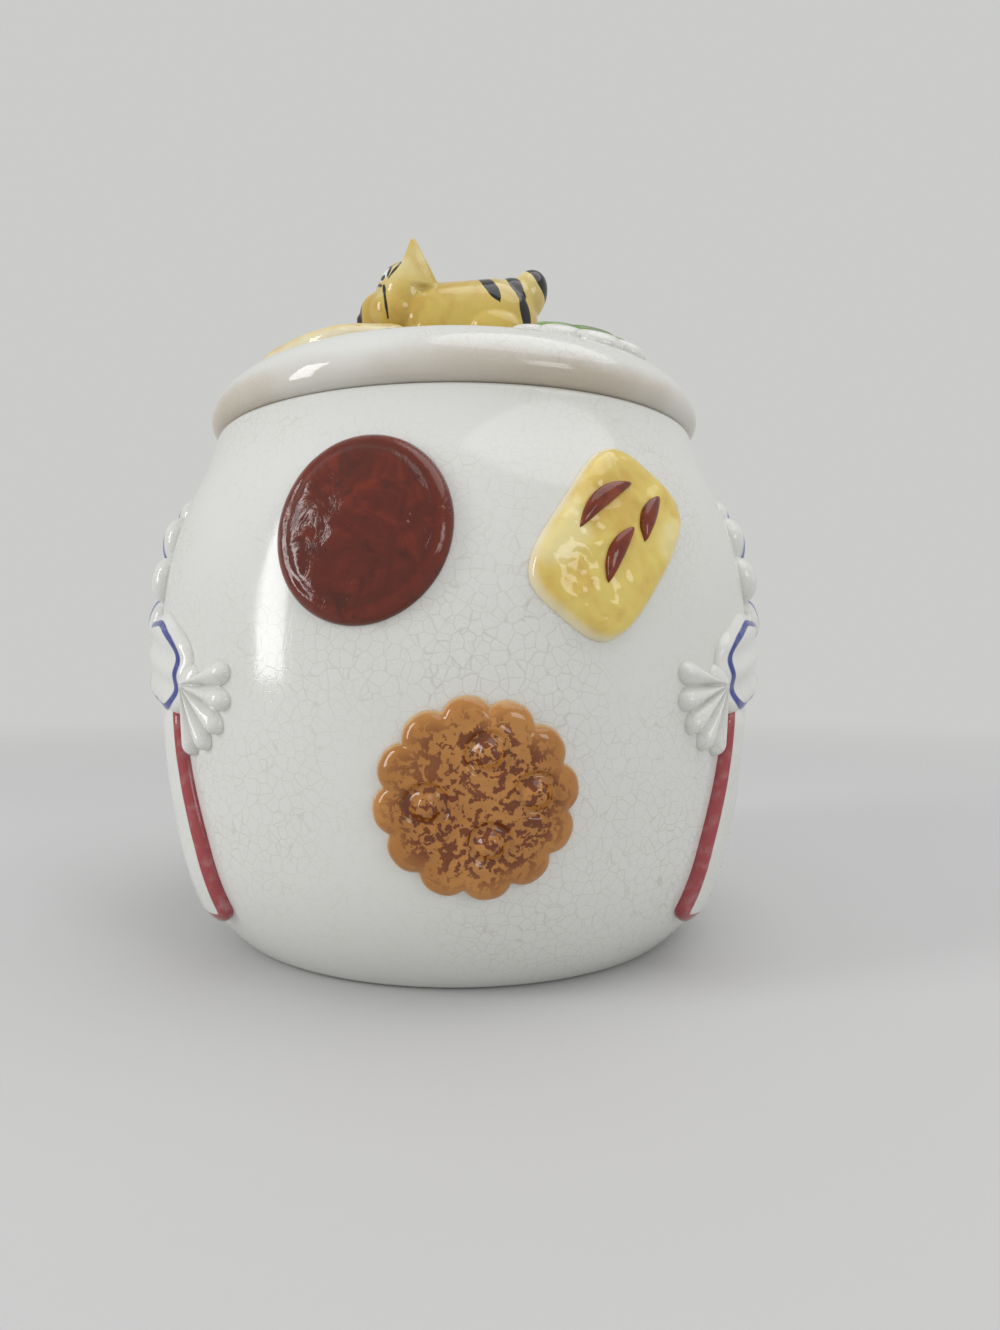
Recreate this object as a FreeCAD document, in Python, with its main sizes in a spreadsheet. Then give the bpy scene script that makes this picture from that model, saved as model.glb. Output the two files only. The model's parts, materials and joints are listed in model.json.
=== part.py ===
"""Barrel-shaped biscuit jar with a loose domed lid, relief biscuits, side ribbons and a kitten grip.

Frame: +Z up, origin on the jar's axis at the table. The front faces -Y, so an azimuth of 0 is the
front, and azimuths grow from the front towards +X. The kitten looks towards -X. Sizes are in mm.
"""
import FreeCAD
import Part
import Sketcher
import math
import os

PARTS_FOLDER = "parts"

# Driving dimensions: name, value, what it is. Angles are in degrees.
SIZES = [
    ("belly_radius", 98.3, "widest radius of the wall"),
    ("belly_height", 84.9, "height of the widest ring"),
    ("belly_arc", 278.0, "radius of the belly's profile arc"),
    ("lower_turn", 10.5, "angle at which the belly arc hands over to the lower arc"),
    ("lower_arc", 57.8, "radius of the profile arc above the foot"),
    ("upper_turn", 3.8, "angle at which the belly arc hands over to the shoulder arc"),
    ("shoulder_arc", 109.0, "radius of the shoulder's profile arc"),
    ("shoulder_end", 26.3, "angle at which the shoulder arc hands over to the neck arc"),
    ("neck_arc", 88.0, "radius of the hollow profile arc under the rim"),
    ("neck_end", 14.9, "angle at which the neck arc ends under the rim"),
    ("wall", 5.0, "thickness of the jar's wall"),
    ("floor_top", 8.0, "height of the floor inside the jar"),
    ("floor_round", 13.0, "radius between floor and wall inside"),
    ("foot_round", 6.0, "radius of the foot's outer edge"),
    ("foot_ring_inside", 62.0, "inner radius of the ring that the jar stands on"),
    ("foot_recess", 2.4, "height of the hollow under the floor"),
    ("foot_bevel", 1.6, "width of the bevel inside the foot ring"),
    ("rim_round", 2.0, "radius of the rim's outer edge"),
    ("rim_inner_round", 1.2, "radius of the rim's inner edge"),
    ("seat_clearance", 0.05, "gap between the rim and the lid's seat"),
    ("lid_radius", 82.5, "widest radius of the lid"),
    ("lid_lip_arc", 4.6, "radius under the lid's overhanging lip"),
    ("lid_edge_arc", 9.4, "radius of the lid's edge above its widest ring"),
    ("lid_edge_turn", 31.2, "angle at which the lid's edge arc ends"),
    ("lid_shoulder_arc", 20.35, "radius of the lid's shoulder"),
    ("lid_shoulder_turn", 69.8, "angle at which the shoulder hands over to the dome"),
    ("lid_wall", 5.2, "thickness of the lid's dome"),
    ("lid_under_round", 6.0, "radius between dome and flange under the lid"),
    ("flange_clearance", 1.7, "radial gap between the lid's flange and the mouth"),
    ("flange_wall", 5.0, "thickness of the lid's flange"),
    ("flange_depth", 10.5, "depth of the flange below the seat"),
    ("flange_round", 1.6, "radius of the flange's lower edges"),
    ("relief_depth", 4.0, "how far a biscuit stands out of the wall"),
    ("trim_depth", 1.6, "how far slivers, buttons and icing stand out of what they lie on"),
    ("relief_round", 1.9, "edge radius of the biscuits"),
    ("trim_round", 0.7, "edge radius of slivers and buttons"),
    ("relief_reach", 115.0, "length of the prism that a relief is cut from"),
    ("round_biscuit_azimuth", -13.6, "place of the round biscuit"),
    ("round_biscuit_height", 121.6, "height of the round biscuit's middle"),
    ("round_biscuit_radius", 23.9, "radius of the round biscuit"),
    ("oblong_biscuit_azimuth", 24.5, "place of the oblong biscuit"),
    ("oblong_biscuit_height", 118.6, "height of the oblong biscuit's middle"),
    ("oblong_biscuit_length", 49.0, "length of the oblong biscuit"),
    ("oblong_biscuit_width", 33.5, "width of the oblong biscuit"),
    ("oblong_biscuit_corner", 9.5, "corner radius of the oblong biscuit"),
    ("oblong_biscuit_tilt", 46.0, "turn of its long side from level"),
    ("scalloped_biscuit_azimuth", 3.3, "place of the scalloped biscuit"),
    ("scalloped_biscuit_height", 55.4, "height of the scalloped biscuit's middle"),
    ("scalloped_biscuit_radius", 25.2, "radius of the scalloped biscuit over its lobes"),
    ("boss_radius", 8.5, "sphere radius of the scalloped biscuit's bosses"),
    ("boss_rise", 1.5, "how far a boss stands out of the scalloped biscuit"),
    ("sliver_width", 4.6, "width of an almond sliver"),
    ("rosette_azimuth", 90.0, "place of the side rosettes"),
    ("rosette_height", 113.0, "height of the rosette's middle"),
    ("rosette_radius", 26.0, "radius of the rosette over its petals"),
    ("button_radius", 8.5, "radius of the rosette's button"),
    ("bow_azimuth", 62.5, "place of a bow loop"),
    ("bow_height", 87.0, "height of a bow loop's middle"),
    ("bow_length", 50.0, "length of a bow loop"),
    ("bow_tilt", 10.0, "rise of a bow loop towards the rosette"),
    ("bow_width", 22.0, "width of a bow loop"),
    ("pleat_azimuth", 46.0, "place of the pleated end's hub"),
    ("pleat_height", 83.5, "height of the pleated end's hub"),
    ("pleat_radius", 22.5, "radius of the pleated end over its lobes"),
    ("pleat_spread", 116.0, "angle over which the pleats spread"),
    ("tail_azimuth", 49.0, "place of a ribbon tail"),
    ("tail_height", 45.0, "height of a ribbon tail's middle"),
    ("tail_length", 62.0, "length of a ribbon tail"),
    ("tail_width", 14.0, "width of a ribbon tail at its foot"),
    ("tail_top_width", 9.0, "width of a ribbon tail at its top"),
    ("tail_tilt", 8.0, "lean of a ribbon tail from upright"),
    ("lid_biscuit_azimuth", 47.0, "place of the reliefs on the lid, either side of the front"),
    ("lid_biscuit_distance", 51.0, "distance of the lid's reliefs from the axis"),
    ("lid_biscuit_length", 47.0, "length of the lid's oblong biscuit"),
    ("lid_biscuit_width", 37.0, "width of the lid's oblong biscuit"),
    ("iced_biscuit_radius", 23.0, "radius of the iced biscuit over its lobes"),
    ("icing_radius", 16.5, "radius of the icing over its lobes"),
    ("kitten_axis_rise", 13.4, "height of the kitten's body axis over the lid's top"),
    ("kitten_chest_x", -19.0, "front end of the kitten's body"),
    ("kitten_rump_x", 29.6, "rear end of the kitten's body"),
    ("kitten_chest_radius", 14.8, "radius of the kitten's chest"),
    ("kitten_rump_radius", 16.0, "radius of the kitten's rump"),
    ("head_x", -17.6, "place of the head's middle"),
    ("head_rise", 23.8, "height of the head's middle over the lid's top"),
    ("head_half_length", 11.2, "half the head's length"),
    ("head_half_width", 14.2, "half the head's width"),
    ("head_half_height", 14.4, "half the head's height"),
    ("muzzle_reach", 9.0, "distance of the muzzle's middle in front of the head's"),
    ("muzzle_drop", 6.2, "distance of the muzzle's middle below the head's"),
    ("muzzle_half_length", 7.0, "half the muzzle's length"),
    ("muzzle_half_width", 8.0, "half the muzzle's width"),
    ("muzzle_half_height", 6.2, "half the muzzle's height"),
    ("nose_sink", 0.6, "depth of the nose's middle inside the muzzle's front"),
    ("nose_rise", 2.2, "height of the nose's middle over the muzzle's"),
    ("nose_half_length", 1.7, "half the nose's length"),
    ("nose_half_width", 2.3, "half the nose's width"),
    ("nose_half_height", 1.6, "half the nose's height"),
    ("ear_x", -14.2, "place of the ears' middles"),
    ("ear_tip_rise", 43.2, "height of the ear tips over the lid's top"),
    ("ear_tip_spread", 10.0, "distance of an ear tip from the middle plane"),
    ("ear_base_spread", 7.0, "distance of an ear's base from the middle plane"),
    ("ear_height", 16.5, "length of an ear, with the part that is set into the head"),
    ("ear_half_length", 9.2, "half the length of an ear's base"),
    ("ear_half_width", 6.2, "half the width of an ear's base"),
    ("ear_tip_round", 0.9, "half the length of an ear's blunt tip"),
    ("ear_wall", 2.6, "thickness of an ear behind its hollow"),
    ("thigh_x", 17.5, "place of a thigh's middle"),
    ("thigh_rise", 10.2, "height of a thigh's middle over the lid's top"),
    ("thigh_spread", 11.5, "distance of a thigh's middle from the middle plane"),
    ("thigh_half_length", 12.0, "half a thigh's length"),
    ("thigh_half_width", 6.8, "half a thigh's width"),
    ("thigh_half_height", 12.2, "half a thigh's height"),
    ("paw_rise", 1.6, "height of the paws' middles over the lid's top"),
    ("hind_paw_x", 6.5, "place of a hind paw's middle"),
    ("hind_paw_spread", 15.0, "distance of a hind paw from the middle plane"),
    ("hind_paw_half_length", 8.0, "half a hind paw's length"),
    ("hind_paw_half_width", 4.4, "half a hind paw's width"),
    ("hind_paw_half_height", 4.2, "half a hind paw's height"),
    ("fore_paw_x", -22.5, "place of a fore paw's middle"),
    ("fore_paw_spread", 7.0, "distance of a fore paw from the middle plane"),
    ("fore_paw_half_length", 8.4, "half a fore paw's length"),
    ("fore_paw_half_width", 4.8, "half a fore paw's width"),
    ("fore_paw_half_height", 4.4, "half a fore paw's height"),
    ("kitten_tail_x", 27.4, "place of the curled tail's middle"),
    ("kitten_tail_rise", 24.8, "height of the curled tail's middle over the lid's top"),
    ("kitten_tail_lean", 25.0, "lean of the curled tail from upright"),
    ("kitten_tail_half_length", 6.4, "half the curled tail's length"),
    ("kitten_tail_half_width", 7.4, "half the curled tail's width"),
    ("kitten_tail_half_height", 10.0, "half the curled tail's height"),
    ("tail_tip_distance", 3.2, "distance of the dark tip's border from the curled tail's middle"),
    ("tail_tip_turn", 34.0, "angle above the level in which the dark tip points"),
]

# Lobes of the scalloped outlines, and how deep a notch between two lobes is, as a share of the radius.
SCALLOPED_LOBES = 12
ROSETTE_LOBES = 10
ICED_LOBES = 9
ICING_LOBES = 6
PLEATS = 6
NOTCH_DEPTH = 0.12

# Radius of a lobe or pleat as a share of half the way between two notches, at their own distance.
LOBE_FULLNESS = 1.12
PLEAT_FULLNESS = 1.05

# Shape of a bow loop: its round end as a share of its width, its long sides' radius as a share of its length.
BOW_ROUND_END = 0.36
BOW_LONG_SIDE = 1.4

# Middle section of an ear: its place between base and tip, and its size as a share of the base's.
EAR_MIDDLE = 0.55
EAR_MIDDLE_SIZE = 0.52

# Bosses of the scalloped biscuit and slivers of the oblong ones, in mm from the biscuit's middle.
BOSS_PLACES = [(2.3, 11.8), (-12.0, -0.7), (13.9, 1.9), (3.0, -10.2)]
WALL_SLIVERS = [((-11.5, 1.6), (6.2, 14.3)), ((6.8, -0.9), (14.4, 11.6)), ((-5.2, -11.5), (4.1, 2.8))]
LID_SLIVERS = [((-10.0, -6.0), (3.0, 5.0)), ((-1.0, -9.0), (12.0, 0.0))]

ABOVE = 1
BELOW = -1

document = FreeCAD.newDocument("BiscuitJar")
sheet = document.addObject("Spreadsheet::Sheet", "Sizes")
sub_parts = []


def fill_sheet():
    """Write the driving dimensions into the sheet."""
    for row, (alias, number, note) in enumerate(SIZES, start=1):
        sheet.set("A%d" % row, note)
        sheet.set("B%d" % row, str(number))
        sheet.setAlias("B%d" % row, alias)
    document.recompute()


def size(alias):
    """A driving dimension as an expression."""
    return "Sizes." + alias


def number_of(expression):
    """Work out an expression on the sheet."""
    result = sheet.evalExpression(expression)
    return float(getattr(result, "Value", result))


def add(*terms):
    return "(" + " + ".join(terms) + ")"


def less(first, second):
    return "(%s - %s)" % (first, second)


def times(*factors):
    return "(" + " * ".join(factors) + ")"


def over(first, second):
    return "(%s / %s)" % (first, second)


def cosine(angle):
    return "cos(%s)" % angle


def sine(angle):
    return "sin(%s)" % angle


def other_leg(hypotenuse, leg):
    return "sqrt((%s)^2 - (%s)^2)" % (hypotenuse, leg)


def along(centre, distance, angle):
    """Point at a distance from a centre, at an angle above the level."""
    return add(centre[0], times(distance, cosine(angle))), add(centre[1], times(distance, sine(angle)))


def beyond(centre, through, share):
    """Point on the line from centre through a second point, at a share of their distance."""
    return tuple(add(c, times(less(t, c), share)) for c, t in zip(centre, through))


def arc_geometry(start, end, radius, bulge):
    """Arc of under half a turn; bulge 1 passes left of the way from start to end, -1 right."""
    chord = end - start
    half = chord.Length / 2
    left = FreeCAD.Vector(-chord.y, chord.x, 0).normalize()
    centre = (start + end) / 2 - left * (bulge * math.sqrt(max(radius * radius - half * half, 0)))
    first, last = (end, start) if bulge > 0 else (start, end)
    first_angle = math.atan2(first.y - centre.y, first.x - centre.x)
    last_angle = math.atan2(last.y - centre.y, last.x - centre.x)
    circle = Part.Circle(centre, FreeCAD.Vector(0, 0, 1), radius)
    return Part.ArcOfCircle(circle, first_angle, last_angle)


def draw_outline(sketch, corners, sides):
    """Draw a closed outline: corners are pairs of expressions, sides are None or (radius, bulge)."""
    points = [FreeCAD.Vector(number_of(x), number_of(y), 0) for x, y in corners]
    first_side = sketch.GeometryCount
    ends = []
    for index, side in enumerate(sides):
        start = points[index]
        end = points[(index + 1) % len(points)]
        if side is None:
            sketch.addGeometry(Part.LineSegment(start, end), False)
            ends.append((1, 2))
        else:
            radius, bulge = side
            sketch.addGeometry(arc_geometry(start, end, number_of(radius), bulge), False)
            ends.append((2, 1) if bulge > 0 else (1, 2))
    for index in range(len(sides)):
        following = (index + 1) % len(sides)
        sketch.addConstraint(Sketcher.Constraint("Coincident", first_side + index, ends[index][1],
                                                 first_side + following, ends[following][0]))
    for index, side in enumerate(sides):
        place = (first_side + index, ends[index][0])
        for kind, expression, amount in (("DistanceX", corners[index][0], points[index].x),
                                         ("DistanceY", corners[index][1], points[index].y)):
            bind(sketch, Sketcher.Constraint(kind, -1, 1, place[0], place[1], amount), expression)
        if side is not None:
            radius = side[0]
            bind(sketch, Sketcher.Constraint("Radius", first_side + index, number_of(radius)), radius)


def bind(sketch, constraint, expression):
    """Add a constraint and tie its value to the sheet."""
    index = sketch.addConstraint(constraint)
    sketch.setExpression("Constraints[%d]" % index, expression)


def origin_plane(body, role):
    for feature in body.Origin.OriginFeatures:
        if feature.Role == role:
            return feature
    raise RuntimeError("no plane " + role)


def turned_body(label, outline, axis="V_Axis"):
    """Body made by turning an upright outline about an axis of its sketch."""
    body = document.addObject("PartDesign::Body", label)
    sketch = body.newObject("Sketcher::SketchObject", label + "_profile")
    sketch.AttachmentSupport = (origin_plane(body, "XZ_Plane"), [""])
    sketch.MapMode = "FlatFace"
    corners, sides = outline
    draw_outline(sketch, corners, sides)
    turn = body.newObject("PartDesign::Revolution", label + "_turn")
    turn.Profile = sketch
    turn.ReferenceAxis = (sketch, [axis])
    turn.Angle = 360
    body.Label = label
    document.recompute()
    return body


def skin_body(label, outline):
    """Filled skin, turned so that its seam lies on the left side, where no relief is cut."""
    body = turned_body(label, outline)
    body.Placement = FreeCAD.Placement(FreeCAD.Vector(0, 0, 0), FreeCAD.Rotation(FreeCAD.Vector(0, 0, 1), 180))
    return body


# The wall's profile

def wall_centres():
    """Centres of the wall's tangent profile arcs: belly, lower, shoulder and neck."""
    belly = (less(size("belly_radius"), size("belly_arc")), size("belly_height"))
    down = "(-%s)" % size("lower_turn")
    lower = along(belly, less(size("belly_arc"), size("lower_arc")), down)
    shoulder = along(belly, less(size("belly_arc"), size("shoulder_arc")), size("upper_turn"))
    neck = along(shoulder, add(size("shoulder_arc"), size("neck_arc")), size("shoulder_end"))
    return belly, lower, shoulder, neck


def wall_points(grow):
    """Joints of the wall's arcs, moved out of the wall by grow, from the lower arc's top to the rim."""
    belly, _, shoulder, neck = wall_centres()
    belly_reach = add(size("belly_arc"), grow)
    neck_reach = "(-%s)" % less(size("neck_arc"), grow)
    return [along(belly, belly_reach, "(-%s)" % size("lower_turn")),
            along(belly, belly_reach, size("upper_turn")),
            along(shoulder, add(size("shoulder_arc"), grow), size("shoulder_end")),
            along(neck, neck_reach, size("neck_end"))]


def corner_on_lower_arc(inset, corner_round, centre_height):
    """Centre of a corner arc inside the lower arc, and the point where the two arcs meet."""
    lower = wall_centres()[1]
    reach = less(size("lower_arc"), add(inset, corner_round))
    centre = (add(lower[0], other_leg(reach, less(centre_height, lower[1]))), centre_height)
    return centre, reach, lower


def foot_corner(grow):
    """Lowest point of the rounded foot edge and its joint with the lower arc, moved out by grow."""
    centre, reach, lower = corner_on_lower_arc("0", size("foot_round"), size("foot_round"))
    joint = beyond(lower, centre, over(add(size("lower_arc"), grow), reach))
    return (centre[0], "(-(%s))" % grow), joint


def outer_arcs(grow):
    """Sides from the foot edge to the rim, going up the outside."""
    return [(add(size("foot_round"), grow), BELOW),
            (add(size("lower_arc"), grow), BELOW),
            (add(size("belly_arc"), grow), BELOW),
            (add(size("shoulder_arc"), grow), BELOW),
            (less(size("neck_arc"), grow), ABOVE)]


def wall_skin_outline(grow):
    """Filled outline of the jar's outside, moved out by grow."""
    lowest, joint = foot_corner(grow)
    points = wall_points(grow)
    corners = [("0", lowest[1]), lowest, joint] + points + [("0", points[-1][1])]
    return corners, [None] + outer_arcs(grow) + [None, None]


def rim_height():
    """Height of the rim's flat top."""
    end = wall_points("0")[-1]
    return add(end[1], times(size("rim_round"), less("1", sine(size("neck_end")))))


def mouth_radius():
    """Radius of the mouth, inside the rim."""
    return wall_points("(-%s)" % size("wall"))[-1][0]


def jar_outline():
    """Half section of the hollow jar: foot, outside, rim, inside and floor."""
    lowest, joint = foot_corner("0")
    outside = wall_points("0")
    inside = wall_points("(-%s)" % size("wall"))
    rim_centre = along(outside[-1], "(-%s)" % size("rim_round"), size("neck_end"))
    corner_height = add(size("floor_top"), size("floor_round"))
    centre, reach, lower = corner_on_lower_arc(size("wall"), size("floor_round"), corner_height)
    inner_joint = beyond(lower, centre, over(less(size("lower_arc"), size("wall")), reach))
    inner_edge = add(mouth_radius(), size("rim_inner_round"))
    corners = [("0", size("foot_recess")),
               (size("foot_ring_inside"), size("foot_recess")),
               (add(size("foot_ring_inside"), size("foot_bevel")), "0"),
               lowest, joint] + outside
    sides = [None, None, None] + outer_arcs("0")
    corners += [(rim_centre[0], rim_height()),
                (inner_edge, rim_height()),
                (mouth_radius(), less(rim_height(), size("rim_inner_round")))]
    sides += [(size("rim_round"), BELOW), None, (size("rim_inner_round"), BELOW), None]
    corners += inside[::-1] + [inner_joint, (centre[0], size("floor_top")), ("0", size("floor_top"))]
    sides += [(add(size("neck_arc"), size("wall")), BELOW),
              (less(size("shoulder_arc"), size("wall")), ABOVE),
              (less(size("belly_arc"), size("wall")), ABOVE),
              (less(size("lower_arc"), size("wall")), ABOVE),
              (size("floor_round"), ABOVE),
              None,
              None]
    return corners, sides


# The lid's profile

def seat_height():
    """Height of the flat face with which the lid sits on the rim."""
    return add(rim_height(), size("seat_clearance"))


def lid_centres():
    """Centres of the lid's lip, edge, shoulder and dome arcs, and the dome's radius."""
    level = add(seat_height(), size("lid_lip_arc"))
    lip = (less(size("lid_radius"), size("lid_lip_arc")), level)
    edge = (less(size("lid_radius"), size("lid_edge_arc")), level)
    shoulder = along(edge, less(size("lid_edge_arc"), size("lid_shoulder_arc")), size("lid_edge_turn"))
    turn = size("lid_shoulder_turn")
    dome_radius = add(size("lid_shoulder_arc"), over(shoulder[0], cosine(turn)))
    dome = ("0", less(shoulder[1], over(times(shoulder[0], sine(turn)), cosine(turn))))
    return lip, edge, shoulder, dome, dome_radius


def lid_outside(grow):
    """Corners and sides of the lid's outside, moved out by grow, from the apex to under the lip."""
    lip, edge, shoulder, dome, dome_radius = lid_centres()
    corners = [("0", add(dome[1], dome_radius, grow)),
               along(shoulder, add(size("lid_shoulder_arc"), grow), size("lid_shoulder_turn")),
               along(edge, add(size("lid_edge_arc"), grow), size("lid_edge_turn")),
               (add(size("lid_radius"), grow), lip[1]),
               (lip[0], less(seat_height(), grow))]
    sides = [(add(dome_radius, grow), ABOVE),
             (add(size("lid_shoulder_arc"), grow), ABOVE),
             (add(size("lid_edge_arc"), grow), ABOVE),
             (add(size("lid_lip_arc"), grow), ABOVE)]
    return corners, sides


def lid_skin_outline(grow):
    """Filled outline of the lid's outside, moved out by grow."""
    corners, sides = lid_outside(grow)
    return corners + [("0", corners[-1][1])], sides + [None, None]


def flange_radii():
    """Outer and inner radius of the flange under the lid."""
    outer = less(mouth_radius(), size("flange_clearance"))
    return outer, less(outer, size("flange_wall"))


def lid_outline():
    """Half section of the lid above its seat: dome, lip, seat and hollow underside."""
    corners, sides = lid_outside("0")
    _, _, _, dome, dome_radius = lid_centres()
    inner = flange_radii()[1]
    hollow = less(dome_radius, size("lid_wall"))
    reach = less(hollow, size("lid_under_round"))
    corner_x = less(inner, size("lid_under_round"))
    corner = (corner_x, add(dome[1], other_leg(reach, corner_x)))
    corners += [(inner, seat_height()),
                (inner, corner[1]),
                beyond(dome, corner, over(hollow, reach)),
                ("0", add(dome[1], hollow))]
    sides += [None, None, (size("lid_under_round"), BELOW), (hollow, BELOW), None]
    return corners, sides


def flange_outline():
    """Section of the ring under the lid's seat that drops into the mouth."""
    outer, inner = flange_radii()
    bottom = less(seat_height(), size("flange_depth"))
    above_edge = add(bottom, size("flange_round"))
    corners = [(outer, seat_height()),
               (outer, above_edge),
               (less(outer, size("flange_round")), bottom),
               (add(inner, size("flange_round")), bottom),
               (inner, above_edge),
               (inner, seat_height())]
    corner_side = (size("flange_round"), ABOVE)
    return corners, [None, corner_side, None, corner_side, None, None]


# Flat outlines of the reliefs

def circle_outline(radius):
    """Circle as two half turns, drawn as four quarter arcs."""
    corners = [(radius, "0"), ("0", radius), ("(-%s)" % radius, "0"), ("0", "(-%s)" % radius)]
    return corners, [(radius, BELOW)] * 4


def lobed_outline(radius, lobes):
    """Round outline of equal lobes, with a notch between each two."""
    pitch = 360 / lobes
    notch = times(radius, str(1 - NOTCH_DEPTH))
    lobe_radius = times(radius, "%.4f" % (LOBE_FULLNESS * (1 - NOTCH_DEPTH) * math.sin(math.radians(pitch / 2))))
    corners = [along(("0", "0"), notch, str((index + 0.5) * pitch)) for index in range(lobes)]
    return corners, [(lobe_radius, BELOW)] * lobes


def oblong_outline(length, width, corner, tilt):
    """Rectangle with round corners, turned by tilt."""
    half_length = over(length, "2")
    half_width = over(width, "2")
    inner_length = less(half_length, corner)
    inner_width = less(half_width, corner)
    upright = [(half_length, "(-%s)" % inner_width), (half_length, inner_width),
               (inner_length, half_width), ("(-%s)" % inner_length, half_width),
               ("(-%s)" % half_length, inner_width), ("(-%s)" % half_length, "(-%s)" % inner_width),
               ("(-%s)" % inner_length, "(-%s)" % half_width), (inner_length, "(-%s)" % half_width)]
    corners = [turned(point, tilt) for point in upright]
    return corners, [None, (corner, BELOW)] * 4


def turned(point, angle):
    """A flat point turned about the outline's middle."""
    return (less(times(point[0], cosine(angle)), times(point[1], sine(angle))),
            add(times(point[0], sine(angle)), times(point[1], cosine(angle))))


def sliver_outline(start, end, width):
    """Almond sliver: two arcs between its two tips."""
    tips = [(str(start[0]), str(start[1])), (str(end[0]), str(end[1]))]
    half_chord = math.hypot(end[0] - start[0], end[1] - start[1]) / 2
    rise = over(width, "2")
    radius = "((%.4f + (%s)^2) / (2 * %s))" % (half_chord * half_chord, rise, rise)
    return tips, [(radius, BELOW), (radius, BELOW)]


def bow_outline(length, width, tilt):
    """Bow loop: a plump leaf with round ends, its narrow end towards -x, turned by tilt."""
    half_length = over(length, "2")
    half_width = over(width, "2")
    tip = over(width, "5")
    blunt = times(width, str(BOW_ROUND_END))
    upright = [(less(half_length, blunt), "(-%s)" % half_width),
               (half_length, "(-%s)" % less(half_width, blunt)),
               (half_length, less(half_width, blunt)),
               (less(half_length, blunt), half_width),
               ("(-%s)" % half_length, tip),
               ("(-%s)" % half_length, "(-%s)" % tip)]
    corners = [turned(point, tilt) for point in upright]
    long_side = times(length, str(BOW_LONG_SIDE))
    return corners, [(blunt, BELOW), None, (blunt, BELOW), (long_side, BELOW), None, (long_side, BELOW)]


def pleated_outline(radius, spread, pleats, hub):
    """Fan of pleats round a hub: lobes on its far edge, straight sides back to the hub."""
    pitch = spread / pleats
    lobe_radius = times(radius, "%.4f" % (PLEAT_FULLNESS * math.sin(math.radians(pitch / 2))))
    start = 180 - spread / 2
    corners = [along(("0", "0"), radius, str(start + index * pitch)) for index in range(pleats + 1)]
    corners += [("0", "(-%s)" % hub), ("0", hub)]
    return corners, [(lobe_radius, BELOW)] * pleats + [None, None, None]


def tail_outline(length, width, top_width, tilt):
    """Ribbon tail that widens downwards and ends in a swallow's notch."""
    half_length = over(length, "2")
    half_width = over(width, "2")
    half_top = over(top_width, "2")
    notch = over(width, "3")
    upright = [("(-%s)" % half_width, "(-%s)" % half_length),
               ("0", add("(-%s)" % half_length, notch)),
               (half_width, "(-%s)" % half_length),
               (half_top, half_length),
               ("(-%s)" % half_top, half_length)]
    corners = [turned(point, tilt) for point in upright]
    return corners, [None, None, None, (top_width, BELOW), None]


def mirrored(outline):
    """The same outline seen in a mirror."""
    corners, sides = outline
    flipped = [("(-%s)" % x, y) for x, y in corners]
    turned_sides = [None if side is None else (side[0], -side[1]) for side in sides]
    return flipped, turned_sides


# Reliefs: a flat outline driven through a skin of the wall or the lid

def prism(label, outlines, placement):
    """Prism over flat outlines that starts at a placed sketch and points out of it."""
    sketch = document.addObject("Sketcher::SketchObject", label + "_outline")
    for corners, sides in outlines:
        draw_outline(sketch, corners, sides)
    sketch.setExpression("Placement", placement)
    block = document.addObject("Part::Extrusion", label + "_prism")
    block.Base = sketch
    block.DirMode = "Normal"
    block.Solid = True
    block.setExpression("LengthFwd", size("relief_reach"))
    document.recompute()
    return block


def wall_placement(azimuth, height):
    """Upright sketch plane through the jar's axis that faces out at an azimuth."""
    return ("placement(vector(0; 0; %s); rotation(vector(0; 0; 1); %s) * rotation(vector(1; 0; 0); 90))"
            % (height, azimuth))


def lid_placement(azimuth, distance):
    """Level sketch plane under the dome, at a distance from the axis."""
    return ("placement(vector(%s; %s; %s); rotation(vector(0; 0; 1); %s))"
            % (times(distance, sine(azimuth)), times("-1", distance, cosine(azimuth)),
               seat_height(), azimuth))


def shell_between(label, inner, outer):
    """Space between two skins."""
    shell = document.addObject("Part::Cut", label)
    shell.Base = outer
    shell.Tool = inner
    document.recompute()
    return shell


def outer_edges(shape, backing, depth):
    """Edges where a relief's face meets its sides, on the side away from what it lies on."""
    chosen = []
    for index, edge in enumerate(shape.Edges, start=1):
        flat_sided = [isinstance(face.Surface, (Part.Plane, Part.Cylinder))
                      for face in shape.ancestorsOfType(edge, Part.Face)]
        if sorted(flat_sided) != [False, True]:
            continue
        middle = edge.valueAt((edge.FirstParameter + edge.LastParameter) / 2)
        if backing.distToShape(Part.Vertex(middle))[0] > depth / 2:
            chosen.append(index)
    return chosen


def relief(label, block, shell, backing, depth, edge_round, neighbours=()):
    """Piece of a shell cut out by a prism, its outer edge rounded, less its neighbours' prisms."""
    blank = document.addObject("Part::Common", label + "_blank")
    blank.Base = shell
    blank.Tool = block
    document.recompute()
    rounded = document.addObject("Part::Fillet", label)
    rounded.Base = blank
    radius = number_of(size(edge_round))
    edges = outer_edges(blank.Shape, backing.Shape, number_of(depth))
    rounded.Edges = [(index, radius, radius) for index in edges]
    return cut_by(label, rounded, neighbours)


def keep(label, feature):
    """Name a finished sub-part and put it on the list of pieces to write."""
    feature.Label = label
    sub_parts.append(feature)
    return feature


def mirror_of(label, source, normal):
    """Mirror image of a piece in an upright plane through the axis."""
    image = document.addObject("Part::Mirroring", label)
    image.Source = source
    image.Base = FreeCAD.Vector(0, 0, 0)
    image.Normal = normal
    document.recompute()
    return image


def keep_turned_copy(label, source):
    """Copy of a piece turned half a turn about the jar's axis, as two mirror images."""
    half_way = mirror_of(label + "_half_way", source, FreeCAD.Vector(1, 0, 0))
    return keep(label, mirror_of(label, half_way, FreeCAD.Vector(0, 1, 0)))


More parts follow.
